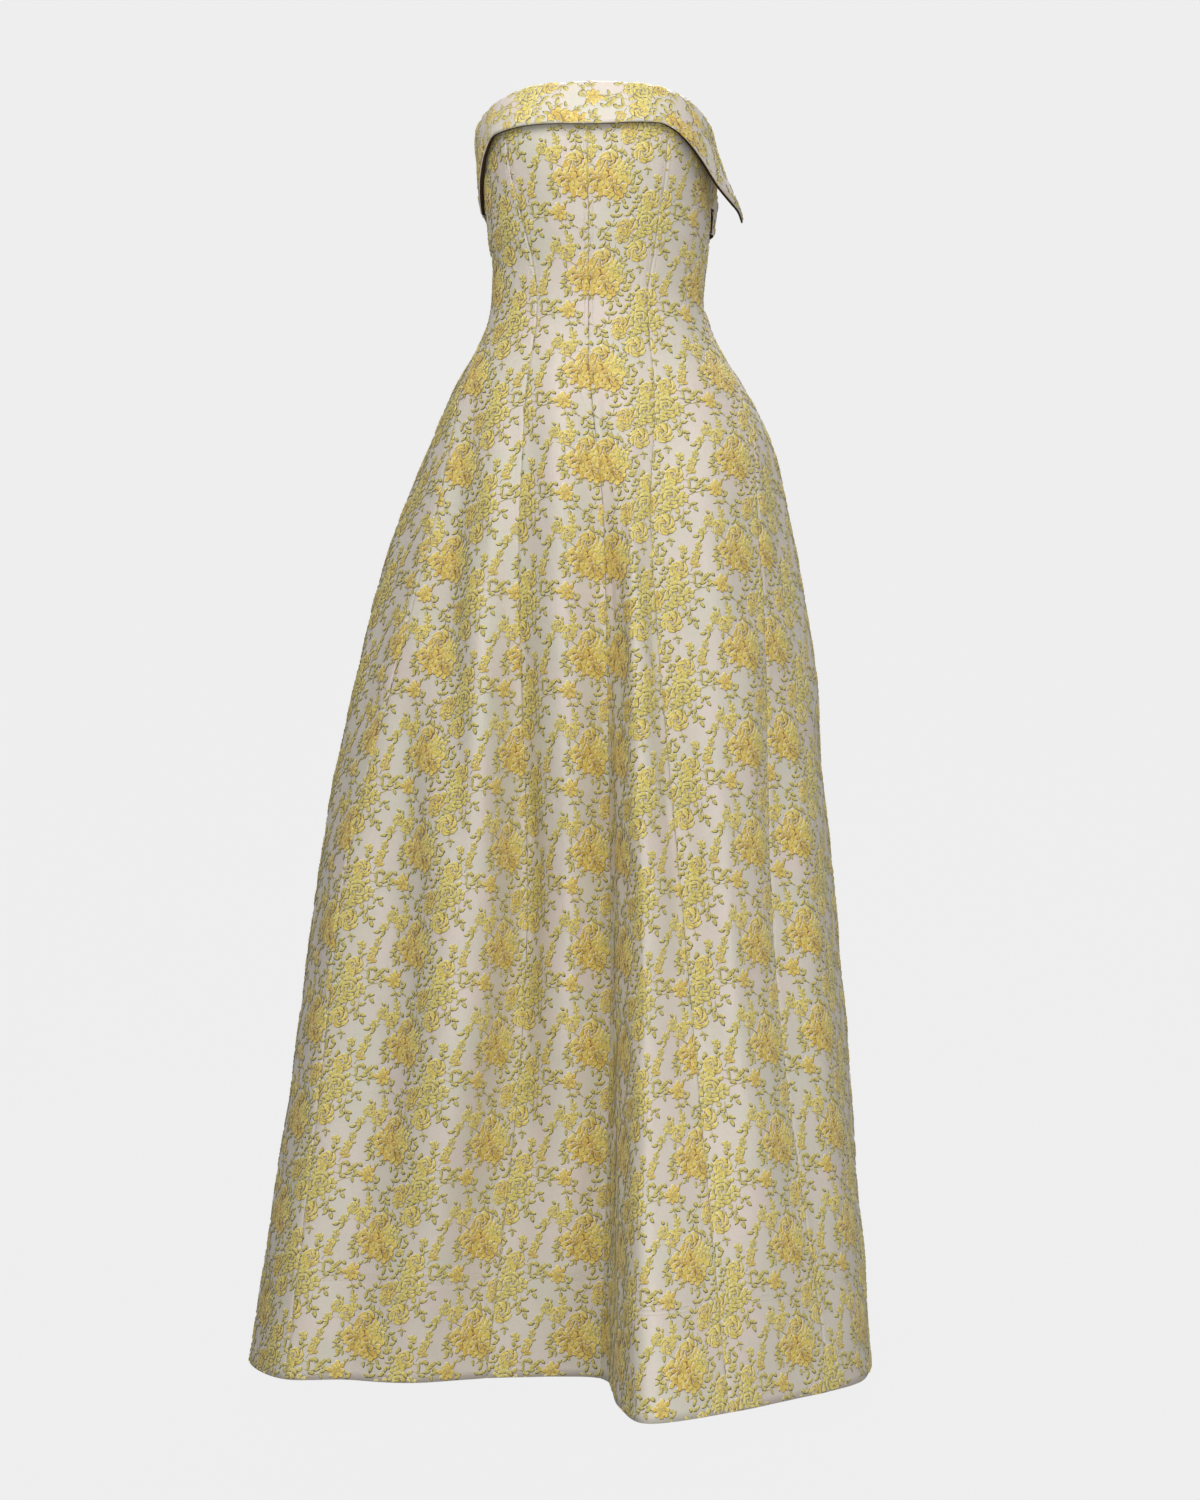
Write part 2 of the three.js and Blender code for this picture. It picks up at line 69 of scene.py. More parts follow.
# Half widths and depths of the gown at each height: z, left, right, front, back.
SECTIONS = (
    (219, 120, 125, 97, 96),
    (180, 124, 131, 105, 101),
    (150, 124, 128, 110, 104),
    (66, 122, 120, 101, 97),
    (30, 118, 115, 94, 89),
    (0, 115, 116, 90, 86),
    (-35, 125, 124, None, None),
    (-62, 138, 138, None, None),
    (-100, 163, 160, None, None),
    (-165, 194, 188, None, None),
    (-264, 216, 227, None, None),
    (-396, 238, 263, None, None),
    (-594, 258, 304, None, None),
    (-858, 279, 338, None, None),
    (-1164, 296, 383, None, None),
)

# Ridges and valleys, anticlockwise from above, from the wearer's right side round the front: name, bearing at
# the waist, bearing at the bust (seams only), then share of the half width and depth at hip, knee and hem.
FOLDS = (
    ("right_edge", -97, None, -1, -15, -1, -10, -1, 5),
    ("right_side_seam", -82, -84, -0.8, 62, -0.89, 66, -0.87, 108),
    ("right_hollow", -68, None, -0.69, 78, -0.68, 84, -0.71, 110),
    ("right_ridge", -52, None, -0.51, 116, -0.44, 140, -0.53, 127),
    ("right_princess_seam", -35, -50, -0.37, 114, -0.24, 78, -0.31, 103),
    ("right_front_ridge", -20, None, -0.18, 143, -0.09, 120, -0.11, 96),
    ("front_seam", -5, -5, 0.03, 124, 0.05, 90, 0.007, 104),
    ("front_fold_wall", 3, None, 0.09, 134, 0.085, 134, 0.075, 244),
    ("left_front_ridge", 12, None, 0.16, 146, 0.175, 188, 0.16, 312),
    ("left_princess_seam", 28, 37, 0.26, 133, 0.345, 160, 0.45, 264),
    ("left_ridge", 50, None, 0.52, 138, 0.53, 172, 0.66, 210),
    ("left_side_seam", 78, 81, 0.8, 84, 0.7, 118, 0.82, 166),
    ("left_corner", 87, None, 0.92, 46, 0.87, 90, 0.94, 120),
    ("left_edge", 97, None, 1, -12, 1, 5, 1, 30),
    ("left_back_hollow", 109, None, 0.93, -64, 0.92, -70, 0.94, -74),
    ("left_back_ridge", 121, None, 0.8, -100, 0.84, -130, 0.86, -170),
    ("left_back_seam", 134, 131, 0.62, -124, 0.65, -156, 0.66, -206),
    ("left_rear_ridge", 146, None, 0.46, -146, 0.48, -200, 0.49, -278),
    ("left_rear_hollow", 158, None, 0.29, -151, 0.3, -196, 0.31, -268),
    ("left_centre_ridge", 170, None, 0.13, -160, 0.15, -224, 0.16, -316),
    ("back_seam", 180, 180, 0, -157, 0, -204, 0, -286),
    ("right_centre_ridge", 190, None, -0.12, -160, -0.13, -221, -0.13, -312),
    ("right_rear_hollow", 202, None, -0.28, -152, -0.27, -198, -0.26, -272),
    ("right_rear_ridge", 214, None, -0.45, -147, -0.43, -206, -0.42, -288),
    ("right_back_seam", 226, 229, -0.6, -125, -0.59, -162, -0.58, -222),
    ("right_back_ridge", 239, None, -0.78, -101, -0.79, -142, -0.78, -196),
    ("right_back_hollow", 251, None, -0.91, -60, -0.91, -80, -0.93, -98),
)
FOLD_NAMES = [fold[0] for fold in FOLDS]
SEAMS = {fold[0] for fold in FOLDS if fold[2] is not None}

# Panels, from seam to seam, and where the first column of flowers stands from the panel's centre line.
PANELS = (
    ("side_front_right", "right_side_seam", "right_princess_seam", -31),
    ("front_right", "right_princess_seam", "front_seam", 32),
    ("front_left", "front_seam", "left_princess_seam", -22),
    ("side_front_left", "left_princess_seam", "left_side_seam", 28),
    ("side_back_left", "left_side_seam", "left_back_seam", -10),
    ("back_left", "left_back_seam", "back_seam", 20),
    ("back_right", "back_seam", "right_back_seam", -24),
    ("side_back_right", "right_back_seam", "right_side_seam", 14),
)

# Height of the cuff's top at each bearing from the neckline's peak.
NECKLINE_PEAK = -2
NECKLINE = ((0, 219), (30, 216), (55, 206), (75, 189), (92, 168), (120, 154), (180, 150))

CUFF_CLOTH = 2.4
CUFF_ARCH = 3.4
PANEL_SEAT = 0.7

# The front cuff's lower edge: bearing, height, stand-off and forward turn of the edge.
FRONT_CUFF = (
    (-96, 95, 3, 0),
    (-86, 111, 3, 0),
    (-75, 131, 4, 0),
    (-64, 152, 5, 0),
    (-52, 166, 6, 0),
    (-30, 170, 6, 0),
    (0, 169, 6, 0),
    (30, 172, 6, 0),
    (38, 166, 7, 0),
    (46, 152, 9, 1),
    (54, 134, 13, 2),
    (62, 114, 19, 4),
    (72, 98, 27, 8),
    (84, 87, 34, 12),
)
BACK_CUFF = (
    (86, 72, 11, 0),
    (104, 70, 9, 0),
    (140, 72, 6, 0),
    (220, 74, 6, 0),
    (250, 82, 5, 0),
    (263.7, 94, 5, 0),
)
CUFF_SLIT = 7


def monotone(xs, ys):
    """A smooth curve through a table's points that never overshoots them."""
    xs, ys = np.asarray(xs, float), np.asarray(ys, float)
    widths = np.diff(xs)
    steps = np.diff(ys) / widths
    slopes = np.empty_like(ys)
    slopes[0], slopes[-1] = steps[0], steps[-1]
    for i in range(1, len(xs) - 1):
        before, after = steps[i - 1], steps[i]
        a, b = widths[i - 1], widths[i]
        same = before * after > 0
        slopes[i] = 3 * (a + b) / ((2 * b + a) / before + (b + 2 * a) / after) if same else 0

    def curve(x):
        x = np.clip(x, xs[0], xs[-1])
        i = np.clip(np.searchsorted(xs, x, side="right") - 1, 0, len(xs) - 2)
        span = xs[i + 1] - xs[i]
        t = (x - xs[i]) / span
        u = 1 - t
        low = ys[i] * (1 + 2 * t) * u * u + slopes[i] * span * t * u * u
        high = ys[i + 1] * t * t * (3 - 2 * t) - slopes[i + 1] * span * t * t * u
        return low + high

    return curve


def column(table, key, value):
    """A column of a table against another, read upwards."""
    rows = sorted((row[key], row[value]) for row in table if row[value] is not None)
    return monotone(*zip(*rows))


left_width = column(SECTIONS, 0, 1)
right_width = column(SECTIONS, 0, 2)
neckline = monotone(*zip(*NECKLINE))


def panel_top(bearing):
    """Height of a panel's top edge, inside the cuff's fold."""
    turned = np.abs((np.asarray(bearing) - NECKLINE_PEAK + 180) % 360 - 180)
    return neckline(turned) - CUFF_CLOTH / 2 - CUFF_ARCH


def bust_bearing(index):
    """A fold between two seams keeps its share of the way from one to the other, up to the bust."""
    waist, bust = FOLDS[index][1:3]
    if bust is not None:
        return bust
    ends = []
    for step in (-1, 1):
        i = index
        while FOLDS[i % len(FOLDS)][0] not in SEAMS:
            i += step
        lap = 360 * (i // len(FOLDS))
        ends.append([value + lap for value in FOLDS[i % len(FOLDS)][1:3]])
    (low_waist, low_bust), (high_waist, high_bust) = ends
    return low_bust + (waist - low_waist) / (high_waist - low_waist) * (high_bust - low_bust)


def cup(bearing, z):
    """How far a bust cup brings the front forward."""
    width = max(math.exp(-(((bearing - at) / BUST_CUP_WIDTH) ** 2)) for at in BUST_CUP_BEARINGS)
    return BUST_CUP * math.exp(-(((z - BUST_HEIGHT) / BUST_CUP_HEIGHT) ** 2)) * width


BUST_BEARINGS = [bust_bearing(i) for i in range(len(FOLDS))]
RING_TOP = max(row[1] for row in NECKLINE)
RING_HEIGHTS = np.arange(-HEM_DROP, RING_TOP + 2, 1.0)


def fold_course(index):
    """Across and forward places of a fold at each of RING_HEIGHTS."""
    _, waist, _, hip_across, hip, knee_across, knee, hem_across, hem = FOLDS[index]
    levels = [(-HEM_DROP, hem_across, hem), (-KNEE_DROP, knee_across, knee), (-HIP_DROP, hip_across, hip)]
    for z, _, _, front, back in SECTIONS:
        if front is None:
            continue
        bearing = waist + (BUST_BEARINGS[index] - waist) * min(z, BUST_HEIGHT) / BUST_HEIGHT
        angle = math.radians(bearing)
        depth = front if math.cos(angle) > 0 else back
        levels.append((z, math.sin(angle), math.cos(angle) * depth + cup(bearing, z)))
    across = column(levels, 0, 1)(RING_HEIGHTS)
    width = np.where(across < 0, right_width(RING_HEIGHTS), left_width(RING_HEIGHTS))
    return np.stack([across * width, -column(levels, 0, 2)(RING_HEIGHTS)], axis=1)


RINGS = np.stack([fold_course(i) for i in range(len(FOLDS))], axis=1)  # height, fold, (x, y)


def bearing_at(s):
    """The bearing at the bust of a place s, which counts the folds round the gown."""
    s = np.asarray(s, float)
    low = np.floor(s).astype(int)
    bearings = np.array(BUST_BEARINGS)

    def at(i):
        return bearings[i % len(FOLDS)] + 360 * (i // len(FOLDS))

    return at(low) + (s - low) * (at(low + 1) - at(low))


PLACES = np.arange(-len(FOLDS), 3 * len(FOLDS) + 1)
PLACE_BEARINGS = bearing_at(PLACES)


def place_at(bearing):
    """The place between two folds that has a bearing at the bust."""
    return np.interp(bearing, PLACE_BEARINGS, PLACES)


def surface(s, z):
    """Points of the outer surface, in millimetres: a closed centripetal Catmull-Rom curve round the folds."""
    s, z = np.broadcast_arrays(np.asarray(s, float), np.asarray(z, float))
    level = np.clip(z - RING_HEIGHTS[0], 0, len(RING_HEIGHTS) - 1.001)
    row = level.astype(int)
    share = (level - row)[..., None]
    low = np.floor(s).astype(int)
    knots = []
    for offset in (-1, 0, 1, 2):
        i = (low + offset) % len(FOLDS)
        knots.append(RINGS[row, i] * (1 - share) + RINGS[row + 1, i] * share)
    p0, p1, p2, p3 = knots
    d0, d1, d2 = (
        np.sqrt(np.maximum(np.linalg.norm(b - a, axis=-1, keepdims=True), 1e-4))
        for a, b in zip(knots, knots[1:])
    )
    t1 = ((p1 - p0) / d0 - (p2 - p0) / (d0 + d1) + (p2 - p1) / d1) * d1
    t2 = ((p2 - p1) / d1 - (p3 - p1) / (d1 + d2) + (p3 - p2) / d2) * d1
    t = (s - low)[..., None]
    xy = p1 + t * (t1 + t * ((3 * (p2 - p1) - 2 * t1 - t2) + t * (2 * (p1 - p2) + t1 + t2)))
    return np.concatenate([xy, z[..., None]], axis=-1)


def unit(v):
    return v / np.maximum(np.linalg.norm(v, axis=-1, keepdims=True), 1e-9)


STEP = 0.02  # between the two places that give the direction along the surface


def along_surface(s, z):
    return surface(s + STEP, z) - surface(s - STEP, z)


def outward(s, z):
    """The surface's outward direction."""
    return unit(np.cross(along_surface(s, z), surface(s, z + 1) - surface(s, z - 1)))


def level_outward(s, z):
    along = along_surface(s, z)
    return unit(np.stack([along[..., 1], -along[..., 0], np.zeros_like(along[..., 0])], axis=-1))


def run_along(points, axis=0):
    """How far each point of a grid is from the first one of its row or column."""
    steps = np.cumsum(np.linalg.norm(np.diff(points, axis=axis), axis=-1), axis=axis)
    return np.concatenate([np.zeros_like(np.take(steps, [0], axis=axis)), steps], axis=axis)


# ---- Soft creases that lie between the folds ----

# Panel's seam that the crease follows, its distance from it in millimetres, top and bottom, width and depth.
CREASES = (
    ("right_princess_seam", -42, -40, -330, 26, -2.6),
    ("right_princess_seam", -92, -190, -760, 28, -7.0),
    ("right_princess_seam", -124, -330, -980, 28, 6.0),
    ("right_princess_seam", -64, -420, -900, 20, 3.2),
    ("right_princess_seam", 32, -300, -880, 22, 4.6),
    ("right_side_seam", 26, -60, -300, 20, -2.5),
    ("front_seam", -30, -60, -300, 17, 2.2),
    ("front_seam", -44, -520, -1010, 24, -3.6),
    ("front_seam", 34, -140, -460, 20, -3.2),
    ("left_princess_seam", -28, -230, -700, 20, 3.4),
    ("left_princess_seam", -62, -560, -1030, 22, -3.8),
    ("left_princess_seam", 40, -90, -430, 24, -3.8),
    ("left_princess_seam", 70, -330, -880, 28, -6.0),
    ("left_side_seam", -34, -330, -900, 26, 4.2),
    ("left_side_seam", 46, -120, -560, 32, -3.2),
    ("left_side_seam", 120, -420, -1010, 40, -5.0),
    ("left_back_seam", -50, -260, -800, 32, -4.0),
    ("left_back_seam", 44, -180, -560, 22, -3.0),
    ("left_back_seam", 84, -500, -1020, 26, 3.6),
    ("back_seam", -36, -160, -520, 20, -2.4),
    ("back_seam", 40, -220, -660, 22, -3.0),
    ("back_seam", 74, -560, -1060, 24, 3.2),
    ("right_back_seam", -40, -210, -640, 24, -3.4),
    ("right_back_seam", 54, -180, -700, 30, -3.6),
    ("right_back_seam", 130, -420, -1040, 38, -4.6),
    ("right_side_seam", -50, -240, -820, 30, -3.6),
)
FADE = 90  # how far a crease fades in and out, in millimetres


def smooth_step(x, low, high):
    t = np.clip((x - low) / (high - low), 0, 1)
    return t * t * (3 - 2 * t)



def crease_height(seam, from_seam, z):
    """Height of the creases by a seam, for places at a distance from it along the cloth."""
    height = np.zeros_like(z)
    for name, at, top, bottom, width, depth in CREASES:
        if name == seam:
            fade = smooth_step(z, bottom - FADE / 2, bottom + FADE) * (1 - smooth_step(z, top - FADE, top))
            height += depth * np.exp(-(((from_seam - at) / width) ** 2)) * fade
    return height


def ripple(s, z):
    """The small unevenness of hanging cloth, in millimetres, calm in the boned bodice."""
    wave = (
        np.sin(s * 1.9 + z * 0.011 + 0.7) * np.sin(z * 0.0173 + s * 0.6)
        + 0.6 * np.sin(s * 4.3 - z * 0.019 + 2.1) * np.sin(z * 0.031 + s * 1.7)
        + 0.3 * np.sin(s * 9.1 + z * 0.043 + 4.0)
    )
    return wave * (0.12 + 0.75 * smooth_step(-z, 20, 330))


# ---- Meshes ----


def new_piece(name, data):
    piece = bpy.data.objects.new(name, data)
    bpy.context.scene.collection.objects.link(piece)
    return piece


def grid_mesh(name, points, flat):
    """A piece from a grid of points in millimetres. Its place in the flat cloth, in metres, is its UV map."""
    rows, columns = points.shape[:2]
    index = np.arange(rows * columns).reshape(rows, columns)
    quads = np.stack([index[1:, :-1], index[1:, 1:], index[:-1, 1:], index[:-1, :-1]], axis=-1).reshape(-1, 4)
    mesh = bpy.data.meshes.new(name)
    mesh.from_pydata((points * MM).reshape(-1, 3).tolist(), [], quads.tolist())
    corner = np.empty(len(mesh.loops), dtype=np.int32)
    mesh.loops.foreach_get("vertex_index", corner)
    layer = mesh.uv_layers.new(name="Cloth")
    layer.data.foreach_set("uv", (flat * MM).reshape(-1, 2)[corner].ravel())
    mesh.shade_smooth()
    return new_piece(name, mesh)


def apply_modifiers(piece):
    """Turns the piece with its modifiers into a plain mesh."""
    mesh = bpy.data.meshes.new_from_object(piece.evaluated_get(bpy.context.evaluated_depsgraph_get()))
    mesh.name = piece.name
    piece.modifiers.clear()
    piece.data = mesh


GRID_STEP = 9  # millimetres between rows of a panel
SEAM_GAP = 0.25  # from a panel's edge to the seam line
SEAM_ROLL = 1.8  # over which a panel's edge rolls into its seam
SEAM_SINK = 0.95
SEAM_TURN = 4.0  # how deep the seam allowance shows inside
TOPSTITCH = 4.2  # from the seam
TOPSTITCH_END = -40  # just below the waist
HEM_STITCHES = (104.5, 109.5)  # above the hem's edge
STITCH_SINK = 0.4
TOPSTITCH_DIMPLE = 0.9  # half width of the groove that a row of stitches pulls into the cloth
HEM_DIMPLE = 1.3
CREASE_CLEAR = 14  # creases and ripples fade in over these distances from a seam
RIPPLE_CLEAR = 10
SEAM_COLUMNS = (0, 0.7, 1.5, 2.6, 3.4, TOPSTITCH, 5.0, 6.2)  # columns beside a seam, as distances from it
HEM_ROWS = (98, 101, 103, 104.5, 106, 107.5, 109.5, 111, 114)  # rows beside the hem's stitching


def bell(x, width):
    return np.exp(-((x / width) ** 2))


def panel_rows(top):
    """Heights of a panel's rows, from its top edge down, and the number of the row at the waist."""
    bodice_rows = round(float(np.mean(top)) / GRID_STEP)
    down = np.linspace(0, 1, bodice_rows + 1)[:-1, None]
    skirt = -HEM_DROP * np.linspace(0, 1, round(HEM_DROP / GRID_STEP) + 1)
    hem_rows = np.array(HEM_ROWS) - HEM_DROP
    beside = np.abs(skirt[:, None] - hem_rows).min(axis=1) < 2.5
    skirt = np.sort(np.concatenate([skirt[~beside], hem_rows]))[::-1]
    skirt = np.broadcast_to(skirt[:, None], (len(skirt), len(top)))
    return np.concatenate([top * (1 - down), skirt]), bodice_rows


def panel_grid(start, end):
    """Points and flat places of a panel between two seams. Its end columns are the turned-in allowance."""
    first, last = FOLD_NAMES.index(start), FOLD_NAMES.index(end)
    last += len(FOLDS) if last < first else 0
    fine = np.linspace(first, last, (last - first) * 24 + 1)
    z, waist_row = panel_rows(panel_top(bearing_at(fine)))
    run = run_along(surface(fine, z), axis=1)
    width = run[:, -1:]
    beside_seam = np.array(SEAM_COLUMNS)
    reach = beside_seam[-1]
    shares = np.linspace(0, 1, int(np.ceil((width.max() - 2 * reach) / GRID_STEP)) + 1)[1:-1]
    near_start = np.broadcast_to(beside_seam, (len(z), len(beside_seam)))
    middle = reach + (width - 2 * reach) * shares
    from_start = np.concatenate([near_start, middle, width - beside_seam[::-1]], axis=1)
    s = np.stack([np.interp(t, r, fine) for t, r in zip(from_start, run)])
    z = np.stack([np.interp(t, r, h) for t, r, h in zip(from_start, run, z)])
    points = surface(s, z)
    normals = outward(s, z)
    from_end = from_start - width
    to_seam = np.minimum(from_start, -from_end)
    height = crease_height(start, from_start, z) + crease_height(end, from_end, z)
    height *= smooth_step(to_seam, 0, CREASE_CLEAR)
    height += ripple(s, z) * smooth_step(to_seam, 0, RIPPLE_CLEAR)
    height -= SEAM_SINK * bell(to_seam, SEAM_ROLL)
    topstitched = smooth_step(z, TOPSTITCH_END - 2, TOPSTITCH_END + 2)
    height -= STITCH_SINK * bell(to_seam - TOPSTITCH, TOPSTITCH_DIMPLE) * topstitched
    for above in HEM_STITCHES:
        height -= STITCH_SINK * bell(z + HEM_DROP - above, HEM_DIMPLE)
    points = points + normals * height[..., None]
    centre = points.shape[1] // 2
    along = run_along(points[:, centre])
    for side, edge in ((0, 1), (-1, -2)):
        points[:, side] += unit(points[:, edge] - points[:, side]) * SEAM_GAP
    turned = [(points[:, side] - normals[:, side] * SEAM_TURN)[:, None] for side in (0, -1)]
    points = np.concatenate([turned[0], points, turned[1]], axis=1)
    u = np.pad(from_start - width / 2, ((0, 0), (1, 1)), mode="edge")
    u[:, 0] -= SEAM_TURN
    u[:, -1] += SEAM_TURN
    # The rows' heights differ a little across the panel's top, and the flat place follows them.
    z = np.pad(z, ((0, 0), (1, 1)), mode="edge")
    v = (along[waist_row] - along)[:, None] + (z - z[:, centre + 1][:, None])
    return points, np.stack([u, v], axis=-1)


# ---- The repeat of the brocade's flowers, laid flat, in millimetres ----

REPEAT_WIDTH = 121
REPEAT_LENGTH = 104
FIGURE_SCALE = 1.03  # from the chart below to the cloth
FIRST_ROW = 13  # height of a row of roses above the waist

# Threads along a scale from the deepest gold to the palest lemon, and the olive of the leaves.
GOLD, AMBER, YELLOW, LEMON, PALE, LEAF = 0.0, 0.22, 0.42, 0.6, 0.8, 1.0

# A bloom's rings of petals, from the outside in: count, then how far out a petal starts, its length and its
# width, as shares of the bloom's radius, and how far the petal turns from pointing outward, in degrees.
BLOOM_RINGS = {
    "ruffled": (
        (12, 0.54, 0.48, 0.42, 0), (9, 0.32, 0.48, 0.4, 0), (6, 0.12, 0.42, 0.38, 0), (4, 0, 0.24, 0.24, 0),
    ),
    "rose": ((6, 0.78, 1.00, 0.48, 84), (5, 0.46, 0.76, 0.44, 84), (3, 0.18, 0.46, 0.40, 84)),
    "mum": (
        (15, 0.66, 0.4, 0.33, 0), (8, 0.62, 0.6, 0.33, 84),
        (6, 0.37, 0.5, 0.31, 84), (4, 0.15, 0.36, 0.28, 84),
    ),
    "star": ((8, 0.14, 0.84, 0.56, 0), (6, 0.04, 0.62, 0.50, 0), (3, 0.0, 0.34, 0.36, 0)),
    "bud": ((5, 0.16, 0.84, 0.80, 0), (3, 0.0, 0.56, 0.56, 0)),
}

# Blooms of one repeat: across and up from its main rose, kind, radius, thread and turn in degrees.
BLOOMS = (
    (7, -8, "ruffled", 17.5, AMBER, 10),
    (-9, -2, "ruffled", 15.5, AMBER, 0),
    (14, 4, "ruffled", 11.5, LEMON, 25),
    (1, 14, "rose", 12.0, AMBER, 20),
    (1, 1, "star", 5.5, GOLD, 10),
    (45, -46, "mum", 16.0, PALE, 5),
    (48, -22, "rose", 9.5, YELLOW, 94),
    (44, -29, "bud", 6.0, LEMON, 150),
    (37, 25, "rose", 10.5, YELLOW, 35),
    (-24, -36, "star", 10.0, AMBER, 90),
    (22, -52, "rose", 8.5, AMBER, 104),
    (20, -60, "rose", 8.0, YELLOW, 80),
    (-22, 23, "rose", 8.0, YELLOW, 50),
    (-17, 28, "bud", 6.0, LEMON, 40),
    (-33, 30, "rose", 6.5, LEMON, 118),
    (-17, 38, "bud", 5.0, LEMON, 70),
    (-41, 19, "bud", 5.5, PALE, 190),
    (54, 0, "bud", 5.0, LEMON, 90),
    (67, -6, "bud", 5.0, YELLOW, 66),
    (66, -15, "bud", 5.5, AMBER, 110),
    (71, 4, "bud", 4.5, PALE, 70),
    (30, -12, "bud", 4.5, PALE, 100),
)

# Sprays of leaves: from, to, how far the stem bows to the left, pairs of leaves and their length.
SPRAYS = (
    (-22, 8, -27, -12, -2.0, 3, 9.0),
    (-20, -10, -23, -18, 1.5, 1, 7.5),
    (22, 2, 31, 3, 2.0, 1, 9.5),
    (21, -8, 30, -8, -1.5, 1, 9.0),
    (20, 8, 27, 23, 1.5, 2, 8.5),
    (8, -24, 12, -28, 0.5, 1, 6.0),
    (-7, -17, -8, -22, 0.5, 1, 6.5),
    (-12, 9, -31, 19, -1.5, 0, 6.0),
    (-34, 19, -44, 14, 1.0, 1, 9.0),
    (-28, 30, -31, 37, -1.0, 1, 7.0),
    (-22, 26, -18, 34, 1.0, 0, 5.0),
    (38, 32, 37, 41, -1.0, 1, 7.5),
    (40, 14, 42, 8, 0.5, 1, 6.0),
    (-24, -43, -20, -53, 1.0, 1, 8.5),
    (-33, -35, -44, -28, 1.0, 1, 8.5),
    (-19, -38, 1, -57, -2.5, 2, 9.5),
    (1, -57, 3, -79, 1.5, 3, 9.5),
    (4, -56, 12, -38, -2.0, 2, 9.0),
    (14, -68, 14, -78, 1.0, 1, 8.5),
    (33, -43, 25, -33, -1.0, 1, 9.0),
    (33, -51, 29, -48, -0.5, 1, 7.0),
    (36, -36, 32, -24, 1.0, 2, 7.5),
    (41, -30, 39, -17, 1.0, 1, 8.0),
    (36, -58, 32, -64, 0.5, 1, 7.5),
    (44, -61, 42, -67, 0.5, 1, 7.5),
    (51, -60, 53, -69, -0.5, 1, 8.0),
    (57, -57, 60, -75, -2.0, 2, 9.5),
    (59, -50, 68, -55, 1.0, 1, 8.5),
    (60, -44, 88, -38, 1.5, 1, 9.0),
    (57, -34, 68, -36, -1.5, 1, 9.0),
    (56, -26, 77, -31, 2.0, 2, 9.5),
    (77, -31, 90, -35, -1.0, 0, 5.0),
    (55, -18, 55, -6, 1.0, 1, 8.0),
    (60, -24, 66, -12, 1.5, 1, 9.0),
    (68, -10, 71, 0, 1.0, 1, 7.0),
)

# Loose leaves round the blooms: where a leaf starts, its direction and its length.
LEAVES = (
    (19, -17, -40, 9), (23, -13, -30, 9), (3, -25, -85, 8), (17, -22, -60, 8), (-13, 20, 150, 8),
    (-7, 26, 118, 8), (6, 27, 80, 7), (12, 23, 55, 7), (-19, -29, 40, 8), (-31, -29, 128, 8),
    (-16, -38, -20, 8), (53, -15, 60, 7), (43, -14, 110, 7), (28, 27, 150, 7), (28, 17, 205, 6),
    (-26, 15, -70, 8), (30, -59, 10, 7), (-24, -6, 200, 8),
)
LEAF_FULLNESS = 0.56  # a leaf's width as a share of its length
STEM_WIDTH = 1.3
STEM_LIFT = 0.05
STEM_LAP = 1.12  # a stem's pieces overlap by this share
PETAL_RELIEF = 0.95
RING_LIFT = 0.22
GROUND_LIFT = 0.2
LIT_FROM = (-0.55, 0.83)  # the side of each figure that gets a painted highlight; the other side gets painted shade


# A blade's points: share of its length and of its width, height, and 1 on the rim. It fans round the last.
LEAF_POINTS = (
    (0, 0, 0, 1), (0.3, 0.45, 0.05, 1), (0.7, 0.38, 0.1, 1), (1, 0, 0.15, 1),
    (0.7, -0.38, 0.1, 1), (0.3, -0.45, 0.05, 1), (0.52, 0, 1, 0),
)
PETAL_POINTS = (
    (0.04, 0.22, 0, 1), (0.58, 0.5, 0.1, 1), (0.96, 0.28, 0.15, 1),
    (0.96, -0.28, 0.15, 1), (0.58, -0.5, 0.1, 1), (0.04, -0.22, 0, 1), (0.6, 0, 1, 0),
)
BLADE_FACES = [(i, 6, (i + 1) % 6) for i in range(6)]


def ray(angle):
    """The direction at an angle in degrees."""
    return np.array([math.cos(math.radians(angle)), math.sin(math.radians(angle))])


def blade(place, turn, length, width, lift, thread, curl=0.0, table=PETAL_POINTS):
    """A petal or leaf: its points, their places in the figure, thread, and shade, which sets each point's
    painted highlight and painted shade by its side.
    """
    t, side, rise, rim = np.array(table, float).T
    ahead = ray(turn)
    across = np.array([-ahead[1], ahead[0]])
    flat = place + np.outer(t * length, ahead) + np.outer(side * width + curl * length * t * t, across)
    height = lift + PETAL_RELIEF * rise * min(1, length / 6)
    # Points on the side towards LIT_FROM get a painted highlight; points on the other side get painted shade.
    facing = np.outer(np.sign(side), across) + np.outer(np.round(2 * t - 1), ahead) * 0.8
    shade = facing @ np.array(LIT_FROM)
    return np.column_stack([flat, height]), np.column_stack([t, rim]), np.full(len(t), thread), shade


def bloom_blades(x, y, kind, radius, thread, turn):
    for ring, (count, start, length, width, swirl) in enumerate(BLOOM_RINGS[kind]):
        for i in range(count):
            angle = turn + 360 * (i + 0.5 * (ring % 2)) / count + (3 if swirl else 8) * math.sin(5 * i + ring)
            reach = radius * (1 + (0.04 if swirl else 0.10) * math.sin(3.7 * i + 2 * ring + x))
            tone = min(max(thread + 0.11 * math.sin(2.3 * i + x) - 0.03 * ring, 0), 0.84)
            lift = GROUND_LIFT + RING_LIFT * (ring + 1)
            curl = length / (2 * start) * 0.9 if swirl else 0.08 * math.sin(i + x)
            place = (x, y) + ray(angle) * start * reach
            yield blade(place, angle + swirl, length * reach, width * reach, lift, tone, curl)


def leaf_blade(x, y, turn, length):
    curl = 0.16 * math.sin(1.7 * x + 2.9 * y)
    return blade((x, y), turn, length, length * LEAF_FULLNESS, GROUND_LIFT, LEAF, curl, LEAF_POINTS)


